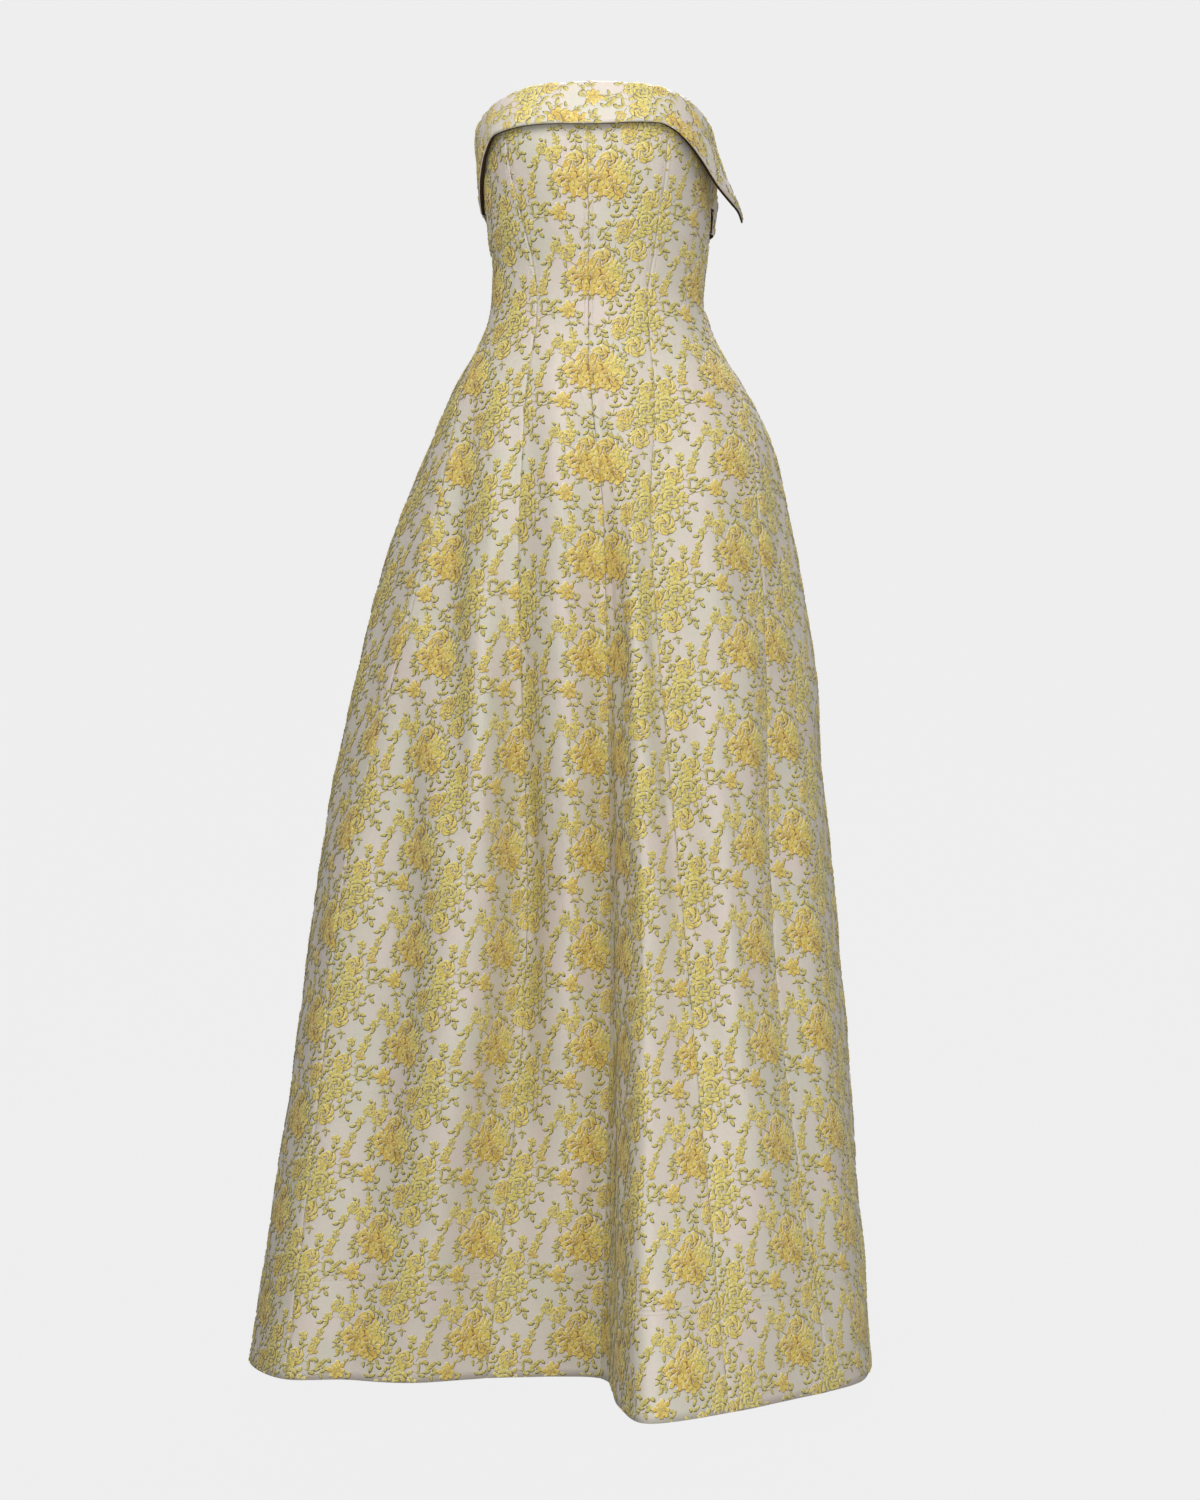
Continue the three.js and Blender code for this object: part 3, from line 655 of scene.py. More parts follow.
def spray_blades(x0, y0, x1, y1, bow, pairs, length):
    """A stem with a leaf at its end and pairs of leaves along it."""
    start, end = np.array([x0, y0], float), np.array([x1, y1], float)
    middle = (start + end) / 2 + unit(np.array([y0 - y1, x1 - x0], float)) * bow * 2

    def on_stem(t):
        return start * (1 - t) ** 2 + middle * 2 * t * (1 - t) + end * t * t

    def heading(step):
        return math.degrees(math.atan2(step[1], step[0]))

    spans = max(1, round(float(np.linalg.norm(end - start)) / 10))
    line = on_stem(np.linspace(0, 1, spans + 1)[:, None])
    for a, b in zip(line, line[1:]):
        yield blade(a, heading(b - a), float(np.linalg.norm(b - a)) * STEM_LAP, STEM_WIDTH, STEM_LIFT, LEAF)
    tip = heading(end - middle)
    if pairs:
        yield leaf_blade(*end, tip, length)
    for i in range(pairs):
        place = on_stem((i + 0.6) / pairs)
        for side in (1, -1):
            turn = tip + side * (52 + 9 * math.sin(3 * i + x0 + side))
            yield leaf_blade(*place, turn, length * (0.88 + 0.12 * math.sin(2 * i + y0 + side)))


def repeat_blades():
    """Every stem, leaf and petal of one repeat, from the lowest up."""
    for row in SPRAYS:
        yield from spray_blades(*row)
    for row in LEAVES:
        yield leaf_blade(*row)
    for row in BLOOMS:
        yield from bloom_blades(*row)


def repeat_mesh():
    """One repeat of the brocade's flowers and leaves, flat, in metres."""
    blades = list(repeat_blades())
    points, figure, thread, shade = (np.concatenate(parts) for parts in zip(*blades))
    starts = len(PETAL_POINTS) * np.arange(len(blades))
    faces = (starts[:, None, None] + np.array(BLADE_FACES)).reshape(-1, 3)
    mesh = bpy.data.meshes.new("brocade_repeat")
    mesh.from_pydata((points * MM * FIGURE_SCALE).tolist(), [], faces.tolist())
    mesh.uv_layers.new(name="Figure").data.foreach_set("uv", figure[faces.ravel()].ravel())
    for name, values in (("thread", thread), ("shade", shade)):
        mesh.attributes.new(name, "FLOAT", "POINT").data.foreach_set("value", values)
    mesh.shade_smooth()
    return mesh


# ---- Nodes ----


class Nodes:
    """Adds and links nodes of one tree."""

    def __init__(self, tree):
        self.tree = tree

    def add(self, kind, inputs=None, **settings):
        """A new node. An input takes a value, a socket, or a node, which stands for its first output."""
        node = self.tree.nodes.new(kind)
        for key, value in settings.items():
            setattr(node, key, value)
        for key, value in (inputs or {}).items():
            if isinstance(value, bpy.types.Node):
                value = value.outputs[0]
            if isinstance(value, bpy.types.NodeSocket):
                self.tree.links.new(value, node.inputs[key])
            else:
                node.inputs[key].default_value = value
        return node

    def math(self, operation, *values):
        return self.add("ShaderNodeMath", dict(enumerate(values)), operation=operation).outputs[0]

    def vector(self, operation, inputs):
        return self.add("ShaderNodeVectorMath", inputs, operation=operation).outputs[0]

    def span(self, value, low=0.0, high=1.0, to_low=0.0, to_high=1.0):
        """Brings a value from one range to another, and keeps it in that."""
        ends = {"From Min": low, "From Max": high, "To Min": to_low, "To Max": to_high}
        return self.add("ShaderNodeMapRange", {"Value": value, **ends}).outputs[0]

    def mix(self, factor, a, b, kind="RGBA"):
        return self.add("ShaderNodeMix", {"Factor": factor, "A": a, "B": b}, data_type=kind).outputs["Result"]

    def noise(self, scale, detail=2.0):
        inputs = {"Vector": self.place(), "Scale": scale, "Detail": detail}
        return self.add("ShaderNodeTexNoise", inputs).outputs["Fac"]

    def place(self):
        return self.add("ShaderNodeTexCoord").outputs["Object"]


def node_group(kind, name, inputs, outputs):
    """A group with named sockets, each with its kind and perhaps a default, and what comes in by them."""
    tree = bpy.data.node_groups.new(name, kind)
    for way, sockets in (("INPUT", inputs), ("OUTPUT", outputs)):
        for label, socket_kind, *default in sockets:
            socket = tree.interface.new_socket(label, in_out=way, socket_type="NodeSocket" + socket_kind)
            if default:
                socket.default_value = default[0]
    nodes = Nodes(tree)
    return nodes, nodes.add("NodeGroupInput").outputs


def geometry_group(name, *inputs):
    shape = ("Geometry", "Geometry")
    return node_group("GeometryNodeTree", name, (shape, *inputs), (shape,))


def lay_on_cloth_tree():
    """Lays flat geometry on shaped cloth: X and Y are places in its UV map, and Z is height above it."""
    nodes, given = geometry_group("Lay on cloth", ("Cloth", "Geometry"))
    flat = nodes.add("GeometryNodeInputPosition").outputs[0]
    uv = nodes.add("GeometryNodeInputNamedAttribute", {"Name": "Cloth"}, data_type="FLOAT_VECTOR")
    place, normal = (
        nodes.add(
            "GeometryNodeSampleUVSurface",
            {
                "Mesh": given["Cloth"],
                "Value": nodes.add(value),
                "Source UV Map": uv.outputs["Attribute"],
                "Sample UV": flat,
            },
            data_type="FLOAT_VECTOR",
        ).outputs
        for value in ("GeometryNodeInputPosition", "GeometryNodeInputNormal")
    )
    height = nodes.add("ShaderNodeSeparateXYZ", {0: flat}).outputs["Z"]
    raised = nodes.vector("SCALE", {0: nodes.vector("NORMALIZE", {0: normal["Value"]}), "Scale": height})
    off_cloth = nodes.add("FunctionNodeBooleanMath", {0: place["Is Valid"]}, operation="NOT").outputs[0]
    # The places are worked out before anything is deleted.
    held = nodes.add("GeometryNodeCaptureAttribute", {"Geometry": given["Geometry"]}, domain="POINT")
    place = nodes.vector("ADD", {0: place["Value"], 1: raised})
    for kind, label, value in (("BOOLEAN", "Off", off_cloth), ("VECTOR", "Place", place)):
        held.capture_items.new(kind, label)
        nodes.tree.links.new(value, held.inputs[label])
    off = {"Geometry": held, "Selection": held.outputs["Off"]}
    kept = nodes.add("GeometryNodeDeleteGeometry", off, domain="POINT")
    moved = nodes.add("GeometryNodeSetPosition", {"Geometry": kept, "Position": held.outputs["Place"]})
    nodes.add("NodeGroupOutput", {"Geometry": moved})
    return nodes.tree


def realize_and_dress(nodes, shape, material):
    whole = nodes.add("GeometryNodeRealizeInstances", {"Geometry": shape})
    return nodes.add("GeometryNodeSetMaterial", {"Geometry": whole, "Material": material})


def flowers_tree(lay):
    """Repeats the flat flowers over the cloth's whole width and length, and lays them on it."""
    nodes, given = geometry_group(
        "Brocade flowers",
        ("Repeat", "Object"),
        ("Repeat Width", "Float", REPEAT_WIDTH * MM),
        ("Repeat Length", "Float", REPEAT_LENGTH * MM),
        ("Columns", "Int", 5),
        ("Rows", "Int", 20),
        ("Centre", "Vector"),
        ("Turn", "Float", 0.0),
        ("Material", "Material"),
    )
    spread = {}
    for axis, size, count in (("X", "Repeat Width", "Columns"), ("Y", "Repeat Length", "Rows")):
        steps = nodes.math("SUBTRACT", given[count], 1.0)
        spread["Size " + axis] = nodes.math("MULTIPLY", given[size], steps)
        spread["Vertices " + axis] = given[count]
    repeat = nodes.add("GeometryNodeObjectInfo", {"Object": given["Repeat"]}).outputs["Geometry"]
    grid = nodes.add("GeometryNodeMeshGrid", spread)
    placed = nodes.add("GeometryNodeInstanceOnPoints", {"Points": grid, "Instance": repeat})
    whole = nodes.add("GeometryNodeRealizeInstances", {"Geometry": placed})
    turn = nodes.add("ShaderNodeCombineXYZ", {"Z": given["Turn"]})
    shift = {"Translation": given["Centre"], "Rotation": turn}
    shifted = nodes.add("GeometryNodeTransform", {"Geometry": whole, **shift})
    laid = nodes.add("GeometryNodeGroup", {"Geometry": shifted, "Cloth": given["Geometry"]}, node_tree=lay)
    nodes.add("NodeGroupOutput", {"Geometry": realize_and_dress(nodes, laid, given["Material"])})


def stitches_tree(lay):
    """A row of stitches along each flat line, laid on the cloth."""
    nodes, given = geometry_group(
        "Stitches",
        ("Cloth", "Object"),
        ("Stitch Length", "Float", 2.5 * MM),
        ("Spacing", "Float", 3.3 * MM),
        ("Thread Radius", "Float", 0.36 * MM),
        ("Material", "Material"),
    )
    line = nodes.add("GeometryNodeMeshToCurve", {"Mesh": given["Geometry"]})
    spacing = {"Curve": line, "Length": given["Spacing"]}
    points = nodes.add("GeometryNodeCurveToPoints", spacing, mode="LENGTH")
    sides = {"Vertices": 5, "Side Segments": 2}
    body = nodes.add(
        "GeometryNodeMeshCylinder",
        {**sides, "Radius": given["Thread Radius"], "Depth": given["Stitch Length"]},
        fill_type="TRIANGLE_FAN",
    )
    # The stitch narrows to its ends.
    where = nodes.add("GeometryNodeInputPosition").outputs[0]
    reach = nodes.math("ABSOLUTE", nodes.add("ShaderNodeSeparateXYZ", {0: where}).outputs["Z"])
    thin = nodes.span(reach, 0.0, nodes.math("MULTIPLY", given["Stitch Length"], 0.6), 1.0, 0.55)
    shape = nodes.add("ShaderNodeCombineXYZ", {"X": thin, "Y": thin, "Z": 1.0}).outputs[0]
    shaped = nodes.vector("MULTIPLY", {0: where, 1: shape})
    stitch = nodes.add("GeometryNodeSetPosition", {"Geometry": body, "Position": shaped})
    placed = nodes.add(
        "GeometryNodeInstanceOnPoints",
        {"Points": points, "Instance": stitch, "Rotation": points.outputs["Rotation"]},
    )
    whole = nodes.add("GeometryNodeRealizeInstances", {"Geometry": placed})
    lift = nodes.add("ShaderNodeCombineXYZ", {"Z": given["Thread Radius"]})
    raised = nodes.add("GeometryNodeTransform", {"Geometry": whole, "Translation": lift})
    cloth = nodes.add("GeometryNodeObjectInfo", {"Object": given["Cloth"]}).outputs["Geometry"]
    laid = nodes.add("GeometryNodeGroup", {"Geometry": raised, "Cloth": cloth}, node_tree=lay)
    dressed = realize_and_dress(nodes, laid, given["Material"])
    nodes.add("NodeGroupOutput", {"Geometry": nodes.add("GeometryNodeSetShadeSmooth", {"Geometry": dressed})})


def run_nodes(piece, tree_name, values):
    """Gives the piece a Geometry Nodes modifier with named inputs, and turns the result into a plain mesh."""
    tree = bpy.data.node_groups[tree_name]
    modifier = piece.modifiers.new(tree.name, "NODES")
    modifier.node_group = tree
    sockets = {item.name: item.identifier for item in tree.interface.items_tree if item.in_out == "INPUT"}
    for label, value in values.items():
        modifier[sockets[label]] = value
    apply_modifiers(piece)


# ---- Materials ----


def set_material(piece, material):
    piece.data.materials.clear()
    piece.data.materials.append(bpy.data.materials[material])


def srgb(r, g, b):
    """A colour from its screen values, as the linear one that a shader takes."""
    def linear(c):
        c /= 255
        return c / 12.92 if c <= 0.04045 else ((c + 0.055) / 1.055) ** 2.4

    return (linear(r), linear(g), linear(b), 1.0)


def new_material(name):
    material = bpy.data.materials.new(name)
    material.use_nodes = True
    material.node_tree.nodes.clear()
    return Nodes(material.node_tree)


def finish(nodes, shader):
    """The material's one shader, with its values and what feeds it."""
    nodes.add("ShaderNodeOutputMaterial", {"Surface": nodes.add("ShaderNodeBsdfPrincipled", shader)})


def satin_tree():
    """The satin ground: a fine weave's height, and a slow drift between a warm and a cool tone."""
    nodes, given = node_group(
        "ShaderNodeTree",
        "Satin weave",
        (
            ("Warm", "Color", (0.6, 0.55, 0.5, 1)),
            ("Cool", "Color", (0.55, 0.55, 0.5, 1)),
            ("Threads per metre", "Float", 1500.0),
        ),
        (("Color", "Color"), ("Height", "Float"), ("Roughness", "Float")),
    )
    fleck = nodes.noise(420.0)
    colour = nodes.mix(nodes.span(nodes.noise(22.0, 3.0), 0.35, 0.65), given["Warm"], given["Cool"])
    parts = nodes.add("ShaderNodeSeparateXYZ", {0: nodes.add("ShaderNodeUVMap", uv_map="Cloth")}).outputs
    waves = []
    for axis, share in (("X", 1.0), ("Y", 0.6)):
        count = nodes.math("MULTIPLY", given["Threads per metre"], share * math.tau)
        waves.append(nodes.math("SINE", nodes.math("MULTIPLY", parts[axis], count)))
    nodes.add(
        "NodeGroupOutput",
        {
            "Color": nodes.vector("SCALE", {0: colour, "Scale": nodes.span(fleck, 0.0, 1.0, 0.93, 1.07)}),
            "Height": nodes.math("MULTIPLY_ADD", nodes.math("MULTIPLY", *waves), 0.5, fleck),
            "Roughness": nodes.span(fleck, 0.0, 1.0, 0.33, 0.46),
        },
    )
    return nodes.tree


# Brocade threads on the scale that GOLD to LEAF name.
THREADS = (
    (GOLD, (150, 106, 38)),
    (0.07, (200, 166, 76)),
    (AMBER, (213, 189, 98)),
    (YELLOW, (218, 199, 104)),
    (LEMON, (213, 199, 104)),
    (PALE, (205, 191, 106)),
    (0.88, (202, 188, 104)),
    (0.92, (200, 186, 104)),
    (LEAF, (198, 184, 102)),
)
# Outline colours. The petal and leaf outlines show only on each blade's side away from LIT_FROM, so they are
# a drawn outline and painted shade together. The lit outline on the side towards LIT_FROM is a painted
# highlight.
PETAL_OUTLINE_SHADE = (112, 78, 26)
LEAF_OUTLINE_SHADE = (56, 48, 20)
LIT_OUTLINE = (240, 231, 206)


def thread_tree():
    """The figure threads: their colours, darker towards each blade's root as painted shade, a painted
    highlight outline and a painted shade outline on opposite sides, and their height.
    """
    nodes, given = node_group(
        "ShaderNodeTree",
        "Figure threads",
        (
            ("Petal outline", "Color", srgb(*PETAL_OUTLINE_SHADE)),
            ("Leaf outline", "Color", srgb(*LEAF_OUTLINE_SHADE)),
            ("Lit outline", "Color", srgb(*LIT_OUTLINE)),
            ("Petal outline width", "Float", 0.26),
            ("Leaf outline width", "Float", 0.36),
        ),
        (("Color", "Color"), ("Height", "Float")),
    )
    span, multiply = nodes.span, lambda a, b: nodes.math("MULTIPLY", a, b)
    parts = nodes.add("ShaderNodeSeparateXYZ", {0: nodes.add("ShaderNodeUVMap", uv_map="Figure")}).outputs
    along, rim = parts["X"], parts["Y"]
    thread, shade = (
        nodes.add("ShaderNodeAttribute", attribute_name=name).outputs["Fac"] for name in ("thread", "shade")
    )
    ramp = nodes.add("ShaderNodeValToRGB", {"Fac": thread})
    stops = ramp.color_ramp.elements
    for i, (at, colour) in enumerate(THREADS):
        stop = stops[i] if i < 2 else stops.new(at)
        stop.position, stop.color = at, srgb(*colour)
    is_leaf = span(thread, 0.88, 0.92)
    # Painted shade towards each blade's root where the blades overlap, a painted highlight towards its tip,
    # and a random mottling of tone.
    painted_root_shade_and_tone = multiply(span(along, 0.0, 0.7, 0.66, 1.05), span(nodes.noise(420.0, 1.0), 0.3, 0.7, 0.88, 1.12))
    lit = nodes.vector("SCALE", {0: ramp.outputs["Color"], "Scale": painted_root_shade_and_tone})
    width = nodes.mix(is_leaf, given["Petal outline width"], given["Leaf outline width"], "FLOAT")
    edge = nodes.math("SUBTRACT", 1.0, width)
    outline = span(rim, edge, nodes.math("ADD", edge, 0.10))
    # The outline is painted shade on the side away from LIT_FROM, and a painted highlight on the side towards
    # it, which is fainter on leaves.
    dark = multiply(outline, span(shade, 0.25, -0.25))
    light = multiply(multiply(outline, span(shade, 0.1, 0.6, 0.0, 0.9)), span(is_leaf, 0.0, 1.0, 1.0, 0.45))
    outline_shade_colour = nodes.mix(is_leaf, given["Petal outline"], given["Leaf outline"])
    colour = nodes.mix(dark, nodes.mix(light, lit, given["Lit outline"]), outline_shade_colour)
    nodes.add("NodeGroupOutput", {"Color": colour, "Height": nodes.math("SINE", multiply(along, 60.0))})
    return nodes.tree


BUMP_DEPTH = 0.0003
GROUND_FINISH = {"Sheen Weight": 0.25, "Sheen Roughness": 0.4, "Specular IOR Level": 0.6}
UNDERSIDE_SHADE_FINISH = {"Roughness": 0.8, "Specular IOR Level": 0.2}
FIGURE_FINISH = {"Roughness": 0.5, "Sheen Weight": 0.2, "Specular IOR Level": 0.4}
FLOOR_FINISH = {"Roughness": 0.9, "Specular IOR Level": 0, "Emission Color": (1, 1, 1, 1)}


def gown_materials():
    """The finishes, made once and kept by name."""
    if "Brocade ground" in bpy.data.materials:
        return
    look = bpy.context.scene.gown_look
    satin, threads = satin_tree(), thread_tree()
    for name, warm, cool, bumpy, values in (
        ("Brocade ground", (*look.ground_warm, 1), (*look.ground_cool, 1), True, GROUND_FINISH),
        # The cuff's underside is coloured dark brown: painted shade for the dark gap under the cuff's lower
        # edge.
        ("Cuff facing", srgb(58, 38, 18), srgb(46, 32, 16), False, UNDERSIDE_SHADE_FINISH),
        ("Zip tape", srgb(206, 196, 178), srgb(196, 190, 174), False, {"Roughness": 0.8}),
    ):
        nodes = new_material(name)
        weave = nodes.add("ShaderNodeGroup", {"Warm": warm, "Cool": cool}, node_tree=satin).outputs
        shader = {"Base Color": weave["Color"], **values}
        if bumpy:
            shader["Roughness"] = weave["Roughness"]
            bump = {"Height": weave["Height"], "Strength": 0.35, "Distance": BUMP_DEPTH}
            shader["Normal"] = nodes.add("ShaderNodeBump", bump)
        finish(nodes, shader)

    nodes = new_material("Brocade figures")
    figure = nodes.add("ShaderNodeGroup", node_tree=threads).outputs
    bump = nodes.add("ShaderNodeBump", {"Height": figure["Height"], "Strength": 0.3, "Distance": BUMP_DEPTH})
    finish(nodes, {"Base Color": figure["Color"], "Normal": bump, **FIGURE_FINISH})

    nodes = new_material("Sewing thread")
    twist = nodes.add("ShaderNodeTexWave", {"Vector": nodes.place(), "Scale": 900.0, "Distortion": 1.0})
    tone = nodes.mix(twist.outputs["Fac"], srgb(196, 188, 170), srgb(226, 220, 204))
    finish(nodes, {"Base Color": tone, "Roughness": 0.6})

    nodes = new_material("Zip metal")
    rough = nodes.span(nodes.noise(900.0), 0.0, 1.0, 0.25, 0.45)
    finish(nodes, {"Roughness": rough, "Base Color": srgb(214, 190, 130), "Metallic": 1.0})

    nodes = new_material("Studio floor")
    tone = nodes.mix(nodes.noise(3.0), srgb(14, 14, 14), srgb(20, 20, 20))
    seen = nodes.add("ShaderNodeLightPath").outputs["Is Camera Ray"]
    glow = nodes.span(seen, 0.0, 1.0, FLOOR_LIGHT, FLOOR_SEEN)
    finish(nodes, {"Base Color": tone, "Emission Strength": glow, **FLOOR_FINISH})


# ---- The add-on ----


class GownLook(bpy.types.PropertyGroup):
    """Colours and sizes of the gown's finish."""

    ground_warm: bpy.props.FloatVectorProperty(
        name="Ground, warm", description="Warm tone of the satin ground", subtype="COLOR",
        default=srgb(208, 194, 184)[:3], min=0, max=1,
    )
    ground_cool: bpy.props.FloatVectorProperty(
        name="Ground, cool", description="Cool tone of the satin ground", subtype="COLOR",
        default=srgb(200, 195, 179)[:3], min=0, max=1,
    )
    cloth_thickness: bpy.props.FloatProperty(
        name="Cloth thickness", description="Thickness of the brocade", default=0.0012, unit="LENGTH",
    )
    cuff_edge: bpy.props.FloatProperty(
        name="Cuff edge", description="Thickness of the cuff's folded edge", default=0.0062, unit="LENGTH",
    )


def lay_flowers(cloth, centre, turn=0.0):
    """A new piece with the brocade's flowers laid on a shaped piece of cloth."""
    uv = np.empty(2 * len(cloth.data.loops))
    cloth.data.uv_layers["Cloth"].data.foreach_get("uv", uv)
    low, high = uv.reshape(-1, 2).min(axis=0), uv.reshape(-1, 2).max(axis=0)
    repeat = np.array([REPEAT_WIDTH, REPEAT_LENGTH]) * MM
    nearest = centre + np.round(((low + high) / 2 - centre) / repeat) * repeat
    columns, rows = (2 * np.ceil((high - low) / repeat / 2).astype(int) + 3).tolist()
    flowers = new_piece(cloth.name + "_flowers", cloth.data.copy())
    run_nodes(
        flowers,
        "Brocade flowers",
        {
            "Repeat": bpy.data.objects["brocade_repeat"],
            "Columns": columns,
            "Rows": rows,
            "Centre": (float(nearest[0]), float(nearest[1]), 0.0),
            "Turn": turn,
            "Material": bpy.data.materials["Brocade figures"],
        },
    )
    return flowers


def sew(cloth, lines):
    """A new piece with rows of stitches on shaped cloth, along lines in millimetres on the flat cloth."""
    verts, edges = [], []
    for line in lines:
        start = len(verts)
        verts.extend((u * MM, v * MM, 0.0) for u, v in line)
        edges.extend((start + i, start + i + 1) for i in range(len(line) - 1))
    name = cloth.name + "_stitches"
    mesh = bpy.data.meshes.new(name)
    mesh.from_pydata(verts, edges, [])
    stitches = new_piece(name, mesh)
    run_nodes(stitches, "Stitches", {"Cloth": cloth, "Material": bpy.data.materials["Sewing thread"]})
    return stitches


TOPSTITCH_BAR = 0.3  # the bar at the topstitching's end reaches to this share of its distance from the seam


def panel_stitch_lines(flat):
    """Topstitching beside both seams, down to a bar just below the waist, and the two rows of the hem."""
    lines = []
    inner = flat[:, 1:-1]
    for side, inwards in ((0, TOPSTITCH), (-1, -TOPSTITCH)):
        edge = inner[:, side]
        line = [tuple(p) for p in edge[edge[:, 1] > TOPSTITCH_END] + (inwards, 0)]
        end = float(np.interp(-TOPSTITCH_END, -edge[:, 1], edge[:, 0]))
        lines.append(line + [(end + share * inwards, TOPSTITCH_END) for share in (1, TOPSTITCH_BAR)])
    for above in HEM_STITCHES:
        columns = np.swapaxes(inner, 0, 1)
        heights = [column[-1, 1] + above for column in columns]
        lines.append([(np.interp(-h, -column[:, 1], column[:, 0]), h) for h, column in zip(heights, columns)])
    return lines


def make_cloth(name, points, flat, material="Brocade ground"):
    """A sheet of cloth from a grid of points."""
    cloth = grid_mesh(name, points, flat)
    set_material(cloth, material)
    return cloth


def thicken(cloth):
    solid = cloth.modifiers.new("Thickness", "SOLIDIFY")
    solid.thickness = bpy.context.scene.gown_look.cloth_thickness
    solid.offset = -1
    apply_modifiers(cloth)


def triangle_areas(a, b):
    return np.linalg.norm(np.cross(a, b), axis=2).sum() / 2


def place_cloth(node, cloth, others, points, flat):
    """Puts a sheet and what goes with it on the gown, in its solid's place, and works out its area laid flat.
    """
    for piece in (cloth, *others):
        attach(piece, GOWN)
    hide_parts(node)
    down, across = np.diff(points, axis=0), np.diff(points, axis=1)
    area = triangle_areas(down[:, :-1], across[:-1]) + triangle_areas(down[:, 1:], across[1:])
    area = float(area) * MM * MM


# Soft boxes: name, place, size, power and what each is aimed at.
LIGHTS = (
    ("Top light", (-0.1, -0.45, 0.62), 0.8, 2.9, (0, 0, 0.12)),
    ("High light", (-0.5, -2.2, 1.9), 1.6, 11.5, (0, 0, -0.2)),
    ("Front light", (0.3, -2.4, -0.95), 1.6, 43.5, (0, 0, -0.85)),
    ("Rim light", (0.4, 2.6, 2.4), 2.2, 125, (0, 0, -0.4)),
)
AIR_LIGHT = 0.62
FLOOR_LIGHT = 0.17  # what the floor sheds on the gown
FLOOR_SEEN = 0.852  # how bright the floor itself looks
CAMERA_PLACE = (0.0022, -3.2, -0.495)
CAMERA_LENS = 69.8  # for a frame 36 mm high
BACKDROP = 238  # how bright the air behind the gown looks on the screen

# The floor, which sweeps up behind the gown, in metres.
FLOOR_HEIGHT = -1.185
FLOOR_FRONT = -8.0
FLOOR_BACK = 3.2
FLOOR_SIDE = 9.0
SWEEP_RADIUS = 1.6
SWEEP_TOP = 7.0


def studio_sweep():
    profile = [(FLOOR_FRONT, FLOOR_HEIGHT), (FLOOR_BACK, FLOOR_HEIGHT)]
    for a in np.linspace(0.1, math.pi / 2, 14):
        rise = SWEEP_RADIUS * (1 - math.cos(a))
        profile.append((FLOOR_BACK + SWEEP_RADIUS * math.sin(a), FLOOR_HEIGHT + rise))
    profile.append((FLOOR_BACK + SWEEP_RADIUS, SWEEP_TOP))
    verts = [(x, y, z) for y, z in profile for x in (-FLOOR_SIDE, FLOOR_SIDE)]
    faces = [(2 * i, 2 * i + 1, 2 * i + 3, 2 * i + 2) for i in range(len(profile) - 1)]
    mesh = bpy.data.meshes.new("studio_sweep")
    mesh.from_pydata(verts, [], faces)
    mesh.shade_smooth()
    return new_piece("studio_sweep", mesh)


class GOWN_OT_stage(bpy.types.Operator):
    """Sets the camera, floor, backdrop and lights"""

    bl_idname = "gown.stage"
    bl_label = "Stage"

    def execute(self, context):
        scene = context.scene
        gown_materials()
        camera = new_piece("Camera", bpy.data.cameras.new("Camera"))
        camera.data.sensor_fit = "VERTICAL"
        camera.data.sensor_height = 36
        camera.data.lens = CAMERA_LENS
        camera.location = CAMERA_PLACE
        camera.rotation_euler = (math.radians(90), 0, 0)
        scene.camera = camera
        sweep = studio_sweep()
        set_material(sweep, "Studio floor")
        for name, place, size, power, aim in LIGHTS:
            light = new_piece(name, bpy.data.lights.new(name, "AREA"))
            light.data.size = size
            light.data.energy = power
            light.visible_camera = False
            light.location = place
            light.rotation_euler = (Vector(aim) - Vector(place)).to_track_quat("-Z", "Y").to_euler()
        scene.world = bpy.data.worlds.new("Studio air")
        scene.world.use_nodes = True
        nodes = Nodes(scene.world.node_tree)
        seen = nodes.add("ShaderNodeLightPath").outputs["Is Camera Ray"]
        strength = nodes.span(seen, 0.0, 1.0, AIR_LIGHT, srgb(BACKDROP, BACKDROP, BACKDROP)[0])
        background = nodes.tree.nodes["Background"]
        background.inputs["Color"].default_value = (1, 1, 1, 1)
        nodes.tree.links.new(strength, background.inputs["Strength"])
        scene.view_settings.view_transform = "Standard"
        return {"FINISHED"}


class GOWN_OT_panels(bpy.types.Operator):
    """Makes the eight princess panels and lays the brocade's flowers on them"""

    bl_idname = "gown.panels"
    bl_label = "Panels"

    def execute(self, context):
        gown_materials()
        for name, start, end, shift in PANELS:
            points, flat = panel_grid(start, end)
            cloth = make_cloth("brocade_" + name, points, flat)
            flowers = lay_flowers(cloth, np.array([shift, FIRST_ROW]) * MM)
            stitches = sew(cloth, panel_stitch_lines(flat))
            thicken(cloth)
            place_cloth(name, cloth, [flowers, stitches], points, flat)
        return {"FINISHED"}


PANEL_WALL = 1.6
HALF_CLOTH = 0.6
CUFF_STEP = 1.6  # degrees between the cuff's columns
CUFF_TUCK = 15
CUFF_LEG_GAP = 1.6
CUFF_INSIDE = HALF_CLOTH - PANEL_WALL - PANEL_SEAT - CUFF_CLOTH / 2
CUFF_OUTSIDE = CUFF_LEG_GAP + CUFF_CLOTH
CUFF_RETURN = 26  # how far the cuff's underside goes back up behind the lower edge
CUFF_CLOSE = 0.35  # how thick the folded edge is at an end, as a share
CUFF_CLOSE_OVER = 14  # degrees over which it closes
SHADED_UNDERSIDE_FROM = math.radians(44)  # how far round the lower edge the brocade ends and the dark brown underside, painted shade, starts
UNDERSIDE_STAND_OFF = 0.8  # the least distance of the underside from the gown
CUFF_FLOWERS = (-16, -50)


